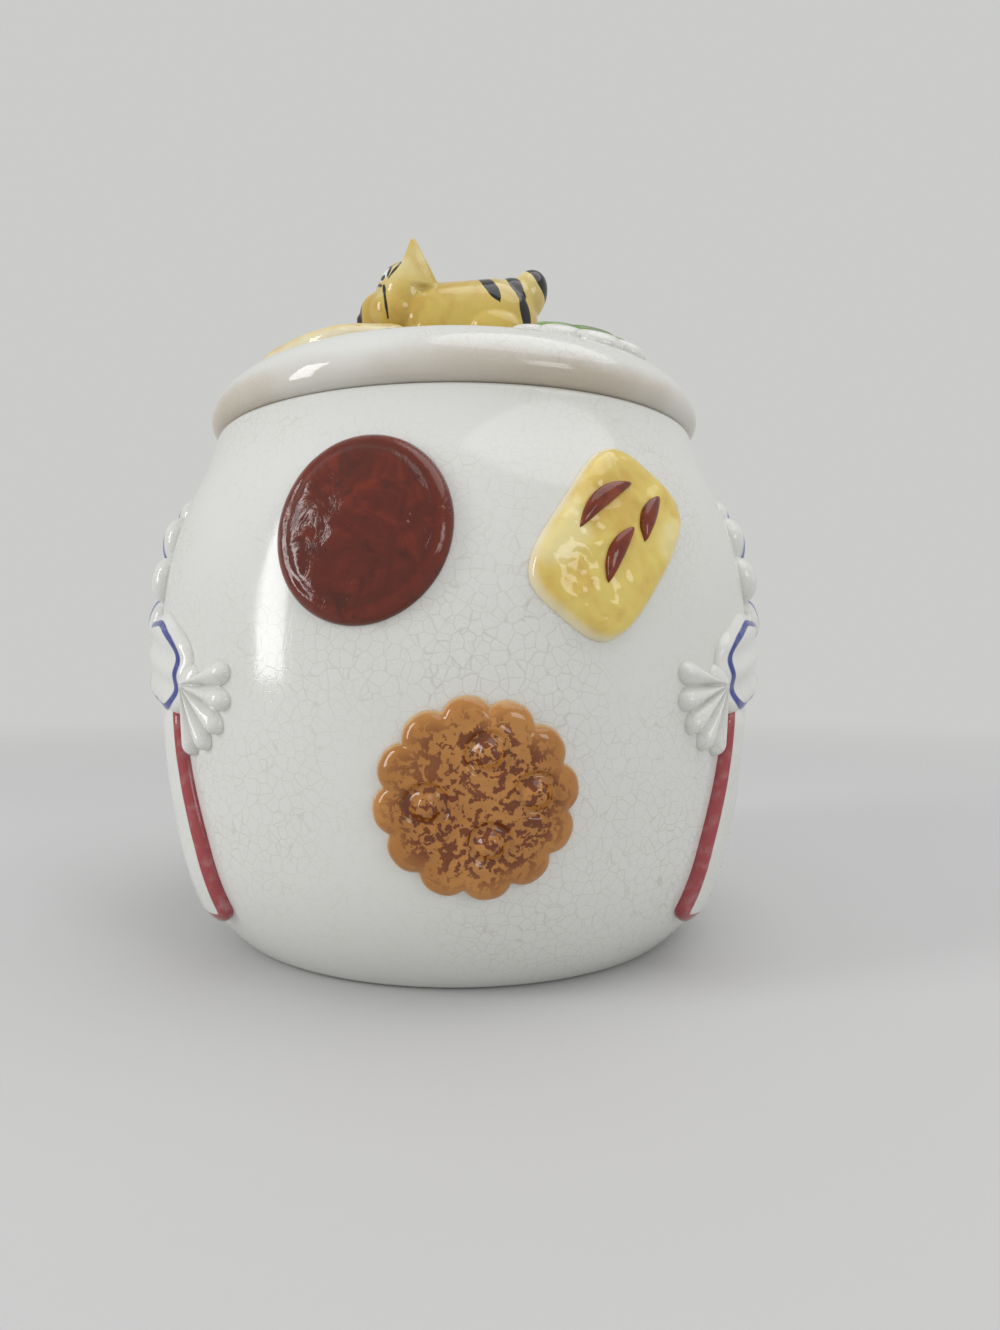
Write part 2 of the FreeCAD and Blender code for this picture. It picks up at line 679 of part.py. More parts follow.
def keep_four(names, source):
    """A piece at the right front and its images: right back, left front and left back."""
    right_front, right_back, left_front, left_back = names
    keep(right_front, source)
    keep(right_back, mirror_of(right_back, source, FreeCAD.Vector(0, 1, 0)))
    image = keep(left_front, mirror_of(left_front, source, FreeCAD.Vector(1, 0, 0)))
    keep(left_back, mirror_of(left_back, image, FreeCAD.Vector(0, 1, 0)))


def ball(label, placement, length, width, height):
    """Ellipsoid: half length along x, half width along y and half height along z are expressions."""
    solid = document.addObject("Part::Ellipsoid", label)
    solid.setExpression("Radius1", height)
    solid.setExpression("Radius2", length)
    solid.setExpression("Radius3", width)
    solid.Angle1 = -90
    solid.Angle2 = 90
    solid.Angle3 = 360
    solid.setExpression("Placement", placement)
    return solid


def cut_by(label, piece, tools):
    """A piece less every tool that it leans on."""
    for index, tool in enumerate(tools):
        rest = document.addObject("Part::Cut", "%s_seat_%d" % (label, index))
        rest.Base = piece
        rest.Tool = tool
        piece = rest
    document.recompute()
    return piece


def at(x, y, z, turn="0", axis="0; 1; 0"):
    """Placement at a point, turned about an axis."""
    return "placement(vector(%s; %s; %s); rotation(vector(%s); %s))" % (x, y, z, axis, turn)


# Sub-parts

def make_wall_reliefs(skin, raised, top):
    """Biscuits on the wall: round, oblong with slivers, and scalloped with bosses."""
    shell = shell_between("wall_shell", skin, raised)
    top_shell = shell_between("wall_top_shell", raised, top)
    place = wall_placement(size("round_biscuit_azimuth"), size("round_biscuit_height"))
    block = prism("chocolate_biscuit", [circle_outline(size("round_biscuit_radius"))], place)
    piece = relief("chocolate_biscuit_front", block, shell, skin, size("relief_depth"), "relief_round")
    keep("chocolate_biscuit_front", piece)
    keep_turned_copy("chocolate_biscuit_back", piece)

    place = wall_placement(size("oblong_biscuit_azimuth"), size("oblong_biscuit_height"))
    outline = oblong_outline(size("oblong_biscuit_length"), size("oblong_biscuit_width"),
                             size("oblong_biscuit_corner"), size("oblong_biscuit_tilt"))
    block = prism("butter_biscuit", [outline], place)
    piece = relief("butter_biscuit_front", block, shell, skin, size("relief_depth"), "relief_round")
    keep("butter_biscuit_front", piece)
    keep_turned_copy("butter_biscuit_back", piece)
    slivers = [sliver_outline(start, end, size("sliver_width")) for start, end in WALL_SLIVERS]
    block = prism("almond_slivers", slivers, place)
    piece = relief("almond_slivers_front", block, top_shell, raised, size("trim_depth"), "trim_round")
    keep("almond_slivers_front", piece)
    keep_turned_copy("almond_slivers_back", piece)

    place = wall_placement(size("scalloped_biscuit_azimuth"), size("scalloped_biscuit_height"))
    outline = lobed_outline(size("scalloped_biscuit_radius"), SCALLOPED_LOBES)
    block = prism("scalloped_biscuit", [outline], place)
    disc = relief("scalloped_biscuit_disc", block, shell, skin, size("relief_depth"), "relief_round")
    bossed = document.addObject("Part::MultiFuse", "scalloped_biscuit_bossed")
    bossed.Shapes = [disc] + [make_boss(index, u, v) for index, (u, v) in enumerate(BOSS_PLACES)]
    piece = cut_by("scalloped_biscuit_front", bossed, [skin])
    keep("scalloped_biscuit_front", piece)
    keep_turned_copy("scalloped_biscuit_back", piece)
    return shell, top_shell


def make_boss(index, u, v):
    """Round boss: a ball sunk into the scalloped biscuit's face."""
    height = add(size("scalloped_biscuit_height"), str(v))
    level = less(height, size("belly_height"))
    face = add(size("belly_radius"), "(-%s)" % size("belly_arc"), other_leg(size("belly_arc"), level),
               size("relief_depth"))
    distance = add(face, size("boss_rise"), "(-%s)" % size("boss_radius"))
    azimuth = add(size("scalloped_biscuit_azimuth"), "asin(%s) / (1 deg)" % over(str(u), face))
    boss = document.addObject("Part::Sphere", "scalloped_boss_%d" % index)
    boss.setExpression("Radius", size("boss_radius"))
    boss.setExpression("Placement", at(times(distance, sine(azimuth)),
                                       times("-1", distance, cosine(azimuth)), height))
    return boss


def make_ribbons(skin, raised, shell, top_shell):
    """Side ribbons: rosette and button on each side, and bow loop, pleated end and tail fore and aft."""
    place = wall_placement(size("rosette_azimuth"), size("rosette_height"))
    rosette_block = prism("rosette", [lobed_outline(size("rosette_radius"), ROSETTE_LOBES)], place)
    rosette = relief("rosette_right", rosette_block, shell, skin, size("relief_depth"), "relief_round")
    keep("rosette_right", rosette)
    keep("rosette_left", mirror_of("rosette_left", rosette, FreeCAD.Vector(1, 0, 0)))
    block = prism("rosette_button", [circle_outline(size("button_radius"))], place)
    button = relief("rosette_button_right", block, top_shell, raised, size("trim_depth"), "trim_round")
    keep("rosette_button_right", button)
    keep("rosette_button_left", mirror_of("rosette_button_left", button, FreeCAD.Vector(1, 0, 0)))

    place = wall_placement(size("bow_azimuth"), size("bow_height"))
    bow_block = prism("bow_loop", [bow_outline(size("bow_length"), size("bow_width"), size("bow_tilt"))], place)
    piece = relief("bow_loop_piece", bow_block, shell, skin, size("relief_depth"), "relief_round",
                   [rosette_block])
    keep_four(ribbon_names("bow_loop"), piece)

    place = wall_placement(size("pleat_azimuth"), size("pleat_height"))
    spread = number_of(size("pleat_spread"))
    outline = pleated_outline(size("pleat_radius"), spread, PLEATS, over(size("bow_width"), "4"))
    block = prism("pleated_end", [outline], place)
    piece = relief("pleated_end_piece", block, shell, skin, size("relief_depth"), "trim_round", [bow_block])
    keep_four(ribbon_names("pleated_end"), piece)

    place = wall_placement(size("tail_azimuth"), size("tail_height"))
    outline = tail_outline(size("tail_length"), size("tail_width"), size("tail_top_width"),
                           "(-%s)" % size("tail_tilt"))
    tail_block = prism("ribbon_tail", [outline], place)
    piece = relief("ribbon_tail_piece", tail_block, shell, skin, size("relief_depth"), "trim_round",
                   [bow_block, block])
    keep_four(ribbon_names("ribbon_tail"), piece)


def ribbon_names(stem):
    return [stem + "_" + place for place in ("right_front", "right_back", "left_front", "left_back")]


def make_lid_reliefs(skin, raised, top):
    """Biscuits on the lid: an oblong one with slivers, and an iced one on a scalloped base."""
    shell = shell_between("lid_shell", skin, raised)
    top_shell = shell_between("lid_top_shell", raised, top)
    place = lid_placement("(-%s)" % size("lid_biscuit_azimuth"), size("lid_biscuit_distance"))
    outline = oblong_outline(size("lid_biscuit_length"), size("lid_biscuit_width"),
                             size("oblong_biscuit_corner"), "0")
    block = prism("lid_biscuit", [outline], place)
    piece = relief("lid_biscuit_front", block, shell, skin, size("relief_depth"), "relief_round")
    keep("lid_biscuit_front", piece)
    keep_turned_copy("lid_biscuit_back", piece)
    slivers = [sliver_outline(start, end, size("sliver_width")) for start, end in LID_SLIVERS]
    block = prism("lid_slivers", slivers, place)
    piece = relief("lid_slivers_front", block, top_shell, raised, size("trim_depth"), "trim_round")
    keep("lid_slivers_front", piece)
    keep_turned_copy("lid_slivers_back", piece)

    place = lid_placement(size("lid_biscuit_azimuth"), size("lid_biscuit_distance"))
    block = prism("iced_base", [lobed_outline(size("iced_biscuit_radius"), ICED_LOBES)], place)
    piece = relief("iced_base_front", block, shell, skin, size("relief_depth"), "relief_round")
    keep("iced_base_front", piece)
    keep_turned_copy("iced_base_back", piece)
    block = prism("icing", [lobed_outline(size("icing_radius"), ICING_LOBES)], place)
    piece = relief("icing_front", block, top_shell, raised, size("trim_depth"), "trim_round")
    keep("icing_front", piece)
    keep_turned_copy("icing_back", piece)


def kitten_body_outline():
    """Half outline of the lying body, turned about its long axis."""
    chest = size("kitten_chest_x")
    rump = size("kitten_rump_x")
    front = size("kitten_chest_radius")
    rear = size("kitten_rump_radius")
    corners = [(chest, "0"), (add(chest, front), front), (less(rump, rear), rear), (rump, "0")]
    return corners, [(front, ABOVE), None, (rear, ABOVE), None]


def over_lid(alias):
    """A height that is measured from the lid's top."""
    _, _, _, dome, dome_radius = lid_centres()
    return add(dome[1], dome_radius, size(alias))


def half_sizes(stem):
    """Half length, half width and half height of a rounded piece."""
    return [size(stem + "_half_" + side) for side in ("length", "width", "height")]


def make_kitten(skin):
    """Lying kitten, built up from its body outwards, each piece cut by what it leans on."""
    loaf = turned_body("kitten_loaf", kitten_body_outline(), "H_Axis")
    loaf.setExpression("Placement", at("0", "0", over_lid("kitten_axis_rise")))
    keep("kitten_body", cut_by("kitten_body", loaf, [skin]))
    head_ball = ball("head_ball", at(size("head_x"), "0", over_lid("head_rise")), *half_sizes("head"))
    keep("kitten_head", cut_by("kitten_head", head_ball, [loaf, skin]))
    make_muzzle(head_ball, loaf, skin)
    for side, sign in (("near", "-1"), ("far", "1")):
        keep("kitten_ear_" + side, make_ear(side, sign, head_ball, loaf))
        place = at(size("thigh_x"), times(sign, size("thigh_spread")), over_lid("thigh_rise"))
        thigh_ball = ball("thigh_ball_" + side, place, *half_sizes("thigh"))
        keep("kitten_thigh_" + side, cut_by("kitten_thigh_" + side, thigh_ball, [loaf, skin]))
        make_paw("hind_paw", side, sign, [loaf, thigh_ball, skin])
        make_paw("fore_paw", side, sign, [loaf, head_ball, skin])
    make_kitten_tail(loaf, skin)


def make_muzzle(head_ball, loaf, skin):
    """Muzzle in front of the head, and the nose set into the muzzle."""
    muzzle_x = less(size("head_x"), size("muzzle_reach"))
    muzzle_height = less(over_lid("head_rise"), size("muzzle_drop"))
    muzzle_ball = ball("muzzle_ball", at(muzzle_x, "0", muzzle_height), *half_sizes("muzzle"))
    keep("kitten_muzzle", cut_by("kitten_muzzle", muzzle_ball, [head_ball, loaf, skin]))
    nose_x = less(muzzle_x, less(size("muzzle_half_length"), size("nose_sink")))
    nose_ball = ball("nose_ball", at(nose_x, "0", add(muzzle_height, size("nose_rise"))), *half_sizes("nose"))
    keep("kitten_nose", cut_by("kitten_nose", nose_ball, [muzzle_ball, head_ball]))


def make_paw(stem, side, sign, tools):
    """Rounded paw on the lid, at its place either side of the middle plane."""
    place = at(size(stem + "_x"), times(sign, size(stem + "_spread")), over_lid("paw_rise"))
    paw = ball("%s_ball_%s" % (stem, side), place, *half_sizes(stem))
    keep("kitten_%s_%s" % (stem, side), cut_by("kitten_%s_%s" % (stem, side), paw, tools))


def ear_skin(label, sign, forward, base_length, base_width):
    """Leaning ear through three level ellipses: base, middle and blunt tip."""
    tip_spread = size("ear_tip_spread")
    base_spread = size("ear_base_spread")
    middle_spread = add(base_spread, times(less(tip_spread, base_spread), str(EAR_MIDDLE)))
    tip_width = times(size("ear_tip_round"), over(base_width, base_length))
    levels = [(str(1), base_spread, base_length, base_width),
              (str(1 - EAR_MIDDLE), middle_spread, times(base_length, str(EAR_MIDDLE_SIZE)),
               times(base_width, str(EAR_MIDDLE_SIZE))),
              (str(0), tip_spread, size("ear_tip_round"), tip_width)]
    sections = []
    for index, (drop, spread, half_length, half_width) in enumerate(levels):
        section = document.addObject("Part::Ellipse", "%s_section_%d" % (label, index))
        section.setExpression("MajorRadius", half_length)
        section.setExpression("MinorRadius", half_width)
        height = less(over_lid("ear_tip_rise"), add(times(size("ear_height"), drop), times(forward, "0.5")))
        section.setExpression("Placement", at(less(size("ear_x"), forward), times(sign, spread), height))
        sections.append(section)
    skin = document.addObject("Part::Loft", label)
    skin.Sections = sections
    skin.Solid = True
    return skin


def make_ear(side, sign, head_ball, loaf):
    """Cupped ear: a lofted cone, hollowed in front by a smaller one that is moved forwards."""
    ear = ear_skin("ear_skin_" + side, sign, "0", size("ear_half_length"), size("ear_half_width"))
    cup = ear_skin("ear_cup_" + side, sign, size("ear_wall"), less(size("ear_half_length"), size("ear_wall")),
                   less(size("ear_half_width"), over(size("ear_wall"), "2")))
    return cut_by("kitten_ear_" + side, ear, [cup, head_ball, loaf])


def make_kitten_tail(loaf, skin):
    """Tail curled up against the rump, parted from its dark tip by a slanting plane."""
    middle = (size("kitten_tail_x"), "0", over_lid("kitten_tail_rise"))
    curl = ball("tail_ball", at(middle[0], middle[1], middle[2], size("kitten_tail_lean")),
                *half_sizes("kitten_tail"))
    block = document.addObject("Part::Box", "tail_tip_block")
    edge = times("4", size("kitten_tail_half_height"))
    for side in ("Length", "Width", "Height"):
        block.setExpression(side, edge)
    corner = along(middle[::2], size("tail_tip_distance"), size("tail_tip_turn"))
    half_edge = over(edge, "2")
    across = add(size("tail_tip_turn"), "90")
    start = along(corner, "(-%s)" % half_edge, across)
    block.setExpression("Placement", at(start[0], "(-%s)" % half_edge, start[1],
                                        "(-%s)" % size("tail_tip_turn")))
    keep("kitten_tail", cut_by("kitten_tail", curl, [block, loaf, skin]))
    tip = document.addObject("Part::Common", "tail_tip_piece")
    tip.Base = curl
    tip.Tool = block
    keep("kitten_tail_tip", cut_by("kitten_tail_tip", tip, [loaf]))


def check_objects():
    """Stop if any object of the document failed or any sub-part isn't sound."""
    for item in document.Objects:
        if "Invalid" in item.State or "Error" in item.State:
            raise RuntimeError("%s failed: %s" % (item.Label, item.State))
    for piece in sub_parts:
        shape = piece.Shape
        if shape.isNull() or not shape.isValid() or not shape.Solids:
            raise RuntimeError(piece.Label + " has no sound solid")


def write_parts():
    """Write every sub-part's shape to its own file."""
    os.makedirs(PARTS_FOLDER, exist_ok=True)
    for piece in sub_parts:
        piece.Shape.exportStep(os.path.join(PARTS_FOLDER, piece.Label + ".step"))
        print("%-26s solids %d volume %9.1f mm3" % (piece.Label, len(piece.Shape.Solids), piece.Shape.Volume))


fill_sheet()
RELIEF_TOP = add(size("relief_depth"), size("trim_depth"))
keep("jar_body", turned_body("jar_body", jar_outline()))
wall_skins = [skin_body("wall_skin_%d" % index, wall_skin_outline(grow))
              for index, grow in enumerate(("0", size("relief_depth"), RELIEF_TOP))]
wall_shell, wall_top_shell = make_wall_reliefs(*wall_skins)
make_ribbons(wall_skins[0], wall_skins[1], wall_shell, wall_top_shell)
keep("lid", turned_body("lid", lid_outline()))
keep("lid_flange", turned_body("lid_flange", flange_outline()))
lid_skins = [skin_body("lid_skin_%d" % index, lid_skin_outline(grow))
             for index, grow in enumerate(("0", size("relief_depth"), RELIEF_TOP))]
make_lid_reliefs(*lid_skins)
make_kitten(lid_skins[0])
document.recompute()
check_objects()
write_parts()
print("rim height %.2f, seat height %.2f, mouth radius %.2f" %
      (number_of(rim_height()), number_of(seat_height()), number_of(mouth_radius())))
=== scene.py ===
"""Looks of a crackle-glazed biscuit jar: wall, lid, relief biscuits, side ribbons and the kitten grip."""
import json
import math

import bmesh
import bpy
import numpy as np
from mathutils import Euler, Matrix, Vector


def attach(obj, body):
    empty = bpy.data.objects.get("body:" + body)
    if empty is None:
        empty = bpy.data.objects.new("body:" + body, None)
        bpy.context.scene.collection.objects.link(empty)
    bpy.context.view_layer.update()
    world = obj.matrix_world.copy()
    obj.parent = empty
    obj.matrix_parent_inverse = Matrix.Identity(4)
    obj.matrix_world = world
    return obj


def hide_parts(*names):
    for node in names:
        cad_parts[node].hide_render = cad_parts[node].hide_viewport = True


bl_info = {
    "name": "Biscuit Jar",
    "version": (1, 0, 0),
    "blender": (4, 5, 0),
    "location": "View3D > Sidebar > Biscuit Jar",
    "description": "Adds the glazed surfaces of a biscuit jar round its frame",
    "category": "Add Mesh",
}

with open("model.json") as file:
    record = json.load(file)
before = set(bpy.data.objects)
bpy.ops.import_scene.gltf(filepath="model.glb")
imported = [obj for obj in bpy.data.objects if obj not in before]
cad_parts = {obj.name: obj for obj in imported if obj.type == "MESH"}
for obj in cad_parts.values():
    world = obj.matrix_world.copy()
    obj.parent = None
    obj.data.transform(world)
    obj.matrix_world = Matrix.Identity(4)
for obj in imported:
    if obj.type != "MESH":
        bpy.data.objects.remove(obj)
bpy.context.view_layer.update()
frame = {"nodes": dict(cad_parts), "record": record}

# Shapes are worked out in millimetres and meshes hold metres.
MM = 0.001
BACK_TURN = 180.0
AROUND = 288

# The wall's profile as tangent arcs, in millimetres and degrees.
BELLY_RADIUS, BELLY_HEIGHT, BELLY_ARC = 98.3, 84.9, 278.0
LOWER_TURN, LOWER_ARC = 10.5, 57.8
UPPER_TURN, SHOULDER_ARC = 3.8, 109.0
SHOULDER_END, NECK_ARC, NECK_END = 26.3, 88.0, 14.9
WALL, FLOOR_TOP, FLOOR_ROUND = 5.0, 8.0, 13.0
FOOT_ROUND, FOOT_RING_INSIDE, FOOT_RECESS, FOOT_BEVEL = 6.0, 62.0, 2.4, 1.6
RIM_ROUND, RIM_INNER_ROUND = 2.0, 1.2

# The lid's profile, in millimetres and degrees.
SEAT_CLEARANCE = 0.05
LID_RADIUS, LID_LIP_ARC, LID_EDGE_ARC, LID_EDGE_TURN = 82.5, 4.6, 9.4, 31.2
LID_SHOULDER_ARC, LID_SHOULDER_TURN, LID_WALL, LID_UNDER_ROUND = 20.35, 69.8, 5.2, 6.0
FLANGE_CLEARANCE, FLANGE_WALL, FLANGE_DEPTH, FLANGE_ROUND = 1.7, 5.0, 10.5, 1.6


def polar(centre, radius, degrees):
    """Point at a radius and an angle above the level from a centre."""
    angle = math.radians(degrees)
    return centre[0] + radius * math.cos(angle), centre[1] + radius * math.sin(angle)


BELLY = (BELLY_RADIUS - BELLY_ARC, BELLY_HEIGHT)
LOWER = polar(BELLY, BELLY_ARC - LOWER_ARC, -LOWER_TURN)
SHOULDER = polar(BELLY, BELLY_ARC - SHOULDER_ARC, UPPER_TURN)
NECK = polar(SHOULDER, SHOULDER_ARC + NECK_ARC, SHOULDER_END)
RIM_END = polar(NECK, -NECK_ARC, NECK_END)
RIM_HEIGHT = RIM_END[1] + RIM_ROUND * (1 - math.sin(math.radians(NECK_END)))
SEAT = RIM_HEIGHT + SEAT_CLEARANCE
LID_LIP = (LID_RADIUS - LID_LIP_ARC, SEAT + LID_LIP_ARC)
LID_EDGE = (LID_RADIUS - LID_EDGE_ARC, SEAT + LID_LIP_ARC)
LID_SHOULDER = polar(LID_EDGE, LID_EDGE_ARC - LID_SHOULDER_ARC, LID_EDGE_TURN)
DOME_RADIUS = LID_SHOULDER_ARC + LID_SHOULDER[0] / math.cos(math.radians(LID_SHOULDER_TURN))
DOME_HEIGHT = LID_SHOULDER[1] - LID_SHOULDER[0] * math.tan(math.radians(LID_SHOULDER_TURN))


def wall_radius(height):
    """Outer radius of the wall at heights: on each arc, its centre plus the other leg of its radius."""
    z = np.asarray(height, float)
    bottom = polar(BELLY, BELLY_ARC, -LOWER_TURN)[1]
    top = polar(BELLY, BELLY_ARC, UPPER_TURN)[1]
    neck = polar(SHOULDER, SHOULDER_ARC, SHOULDER_END)[1]

    def leg(centre, radius):
        return np.sqrt(np.maximum(radius ** 2 - (z - centre[1]) ** 2, 0.01))

    return np.select([z < bottom, z < top, z < neck],
                     [LOWER[0] + leg(LOWER, LOWER_ARC), BELLY[0] + leg(BELLY, BELLY_ARC),
                      SHOULDER[0] + leg(SHOULDER, SHOULDER_ARC)],
                     NECK[0] - leg(NECK, NECK_ARC))


def lid_height(radius):
    """Height of the lid's outside at radii: dome, then shoulder arc, then edge arc."""
    r = np.asarray(radius, float)
    shoulder = polar(LID_SHOULDER, LID_SHOULDER_ARC, LID_SHOULDER_TURN)[0]
    edge = polar(LID_EDGE, LID_EDGE_ARC, LID_EDGE_TURN)[0]

    def leg(centre, arc):
        return np.sqrt(np.maximum(arc ** 2 - (r - centre) ** 2, 0.01))

    return np.select([r < shoulder, r < edge],
                     [DOME_HEIGHT + leg(0, DOME_RADIUS),
                      LID_SHOULDER[1] + leg(LID_SHOULDER[0], LID_SHOULDER_ARC)],
                     LID_EDGE[1] + leg(LID_EDGE[0], LID_EDGE_ARC))


# Settings that a user would change

class JarSettings(bpy.types.PropertyGroup):
    """Sizes and colours of the jar's finish."""
    relief_depth: bpy.props.FloatProperty(
        name="Relief depth", description="How far a biscuit stands out of the wall",
        default=0.004, min=0.001, max=0.008, subtype="DISTANCE", unit="LENGTH")
    crackle_size: bpy.props.FloatProperty(
        name="Crackle size", description="Width of one cell of the crackled glaze",
        default=0.0034, min=0.001, max=0.02, subtype="DISTANCE", unit="LENGTH")
    white: bpy.props.FloatVectorProperty(
        name="White glaze", description="Colour of the jar's glaze", subtype="COLOR",
        default=(0.72, 0.725, 0.69), min=0, max=1)
    yellow: bpy.props.FloatVectorProperty(
        name="Kitten yellow", description="Colour of the kitten's glaze", subtype="COLOR",
        default=(0.60, 0.44, 0.10), min=0, max=1)
    chocolate: bpy.props.FloatVectorProperty(
        name="Chocolate", description="Colour of the round biscuit", subtype="COLOR",
        default=(0.095, 0.011, 0.003), min=0, max=1)
    butter: bpy.props.FloatVectorProperty(
        name="Butter yellow", description="Colour of the oblong biscuit", subtype="COLOR",
        default=(0.74, 0.58, 0.15), min=0, max=1)
    tan: bpy.props.FloatVectorProperty(
        name="Tan", description="Colour of the scalloped biscuit", subtype="COLOR",
        default=(0.40, 0.165, 0.035), min=0, max=1)


# Surfaces

def new_piece(name, skin, body, replaced=()):
    """Make a smooth-shaded mesh from a skin in millimetres and hang it on its body."""
    points, quads, triangles = skin
    mesh = bpy.data.meshes.new(name)
    mesh.from_pydata((points * MM).tolist(), [], quads.tolist() + triangles.tolist())
    mesh.update()
    face_outwards(mesh)
    mesh.polygons.foreach_set("use_smooth", np.ones(len(mesh.polygons), bool))
    piece = bpy.data.objects.new(name, mesh)
    bpy.context.scene.collection.objects.link(piece)
    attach(piece, body)
    if replaced:
        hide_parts(*replaced)
    return piece


def face_outwards(mesh):
    """Turn a closed mesh's faces outwards if they enclose a negative volume."""
    shape = bmesh.new()
    shape.from_mesh(mesh)
    inside_out = shape.calc_volume(signed=True) < 0
    shape.free()
    if inside_out:
        mesh.flip_normals()


def mark_shares(piece, shares):
    """Store how near each point lies to its piece's outline, from 0 in the middle to 1 at the edge."""
    layer = piece.data.attributes.new("edge_share", "FLOAT", "POINT")
    layer.data.foreach_set("value", np.asarray(shares, np.float32))


def capped_rings(rings):
    """Closed skin from rings, shape (rows, columns, 3): quads between the inner rings, and fans of triangles
    round the poles to which the first and the last ring shrink."""
    rows, columns, _ = rings.shape
    points = np.concatenate([rings[1:-1].reshape(-1, 3), rings[0, :1], rings[-1, :1]])
    inner = rows - 2
    column = np.arange(columns)
    following = (column + 1) % columns
    row = columns * np.arange(inner - 1)[:, None]
    corners = [row + column, row + following, row + columns + following, row + columns + column]
    quads = np.stack([corner.ravel() for corner in corners], axis=1)
    last = (inner - 1) * columns
    first_pole = np.full(columns, inner * columns)
    fans = [np.stack([first_pole, following, column], axis=1),
            np.stack([first_pole + 1, last + column, last + following], axis=1)]
    return points, quads, np.concatenate(fans)


def joined(skins):
    """One skin from several: points and faces in a row, the faces counted on from where each skin starts."""
    starts = np.cumsum([0] + [len(skin[0]) for skin in skins[:-1]])
    return (np.concatenate([skin[0] for skin in skins]),
            np.concatenate([skin[1] + start for skin, start in zip(skins, starts)]),
            np.concatenate([skin[2] + start for skin, start in zip(skins, starts)]))


def turned_surface(profile, name, body, replaced):
    """Profile of (radius, height) pairs from axis to axis, turned round it: x = r sin a, y = -r cos a."""
    angle = np.linspace(0, 2 * np.pi, AROUND, endpoint=False)
    radius, height = np.asarray(profile, float).T
    rings = np.stack([np.outer(radius, np.sin(angle)), -np.outer(radius, np.cos(angle)),
                      np.repeat(height[:, None], AROUND, axis=1)], axis=2)
    return new_piece(name, capped_rings(rings), body, replaced)


def arc_points(centre, radius, first, last, count):
    """Points on an arc from the first to the last angle in degrees."""
    angle = np.radians(np.linspace(first, last, count))
    return np.stack([centre[0] + radius * np.cos(angle), centre[1] + radius * np.sin(angle)], axis=1)


def line_points(start, end, count):
    """Points on a line without its ends."""
    share = np.linspace(0, 1, count + 2)[1:-1, None]
    return np.asarray(start, float) * (1 - share) + np.asarray(end, float) * share


def corner_centre(inset, corner_round, height):
    """Centre of an arc of corner_round inside the wall's lower arc, at a height, and its joint's angle."""
    reach = LOWER_ARC - inset - corner_round
    rise = height - LOWER[1]
    centre = (LOWER[0] + math.sqrt(reach ** 2 - rise ** 2), height)
    return centre, math.degrees(math.atan2(rise, centre[0] - LOWER[0]))


def wall_profile(inset):
    """The wall's arcs from the foot's or floor's corner up to the rim, moved inwards by inset."""
    corner_round = FLOOR_ROUND if inset else FOOT_ROUND
    base = FLOOR_TOP if inset else 0
    corner, joint = corner_centre(inset, corner_round, base + corner_round)
    return [arc_points(corner, corner_round, -90, joint, 14),
            arc_points(LOWER, LOWER_ARC - inset, joint, -LOWER_TURN, 24)[1:],
            arc_points(BELLY, BELLY_ARC - inset, -LOWER_TURN, UPPER_TURN, 34)[1:],
            arc_points(SHOULDER, SHOULDER_ARC - inset, UPPER_TURN, SHOULDER_END, 26)[1:],
            arc_points(NECK, -(NECK_ARC + inset), SHOULDER_END, NECK_END, 16)[1:]]


def jar_profile():
    """The hollow jar's section: foot, outside, rim, inside and floor."""
    outside = wall_profile(0)
    inside = wall_profile(WALL)
    rim = polar(RIM_END, -RIM_ROUND, NECK_END)
    mouth = polar(NECK, -(NECK_ARC + WALL), NECK_END)[0]
    inner_rim = (mouth + RIM_INNER_ROUND, RIM_HEIGHT - RIM_INNER_ROUND)
    foot = outside[0][0]
    ring = [(FOOT_RING_INSIDE, FOOT_RECESS), (FOOT_RING_INSIDE + FOOT_BEVEL, 0)]
    return np.concatenate([
        [(0, FOOT_RECESS)], line_points((0, FOOT_RECESS), ring[0], 4), ring,
        line_points(ring[1], foot, 2)] + outside + [
        arc_points(rim, RIM_ROUND, NECK_END, 90, 8)[1:],
        arc_points(inner_rim, RIM_INNER_ROUND, 90, 180, 6)]
        + [stretch[::-1] for stretch in inside[::-1]] + [
        line_points(inside[0][0], (0, FLOOR_TOP), 8), [(0, FLOOR_TOP)]])


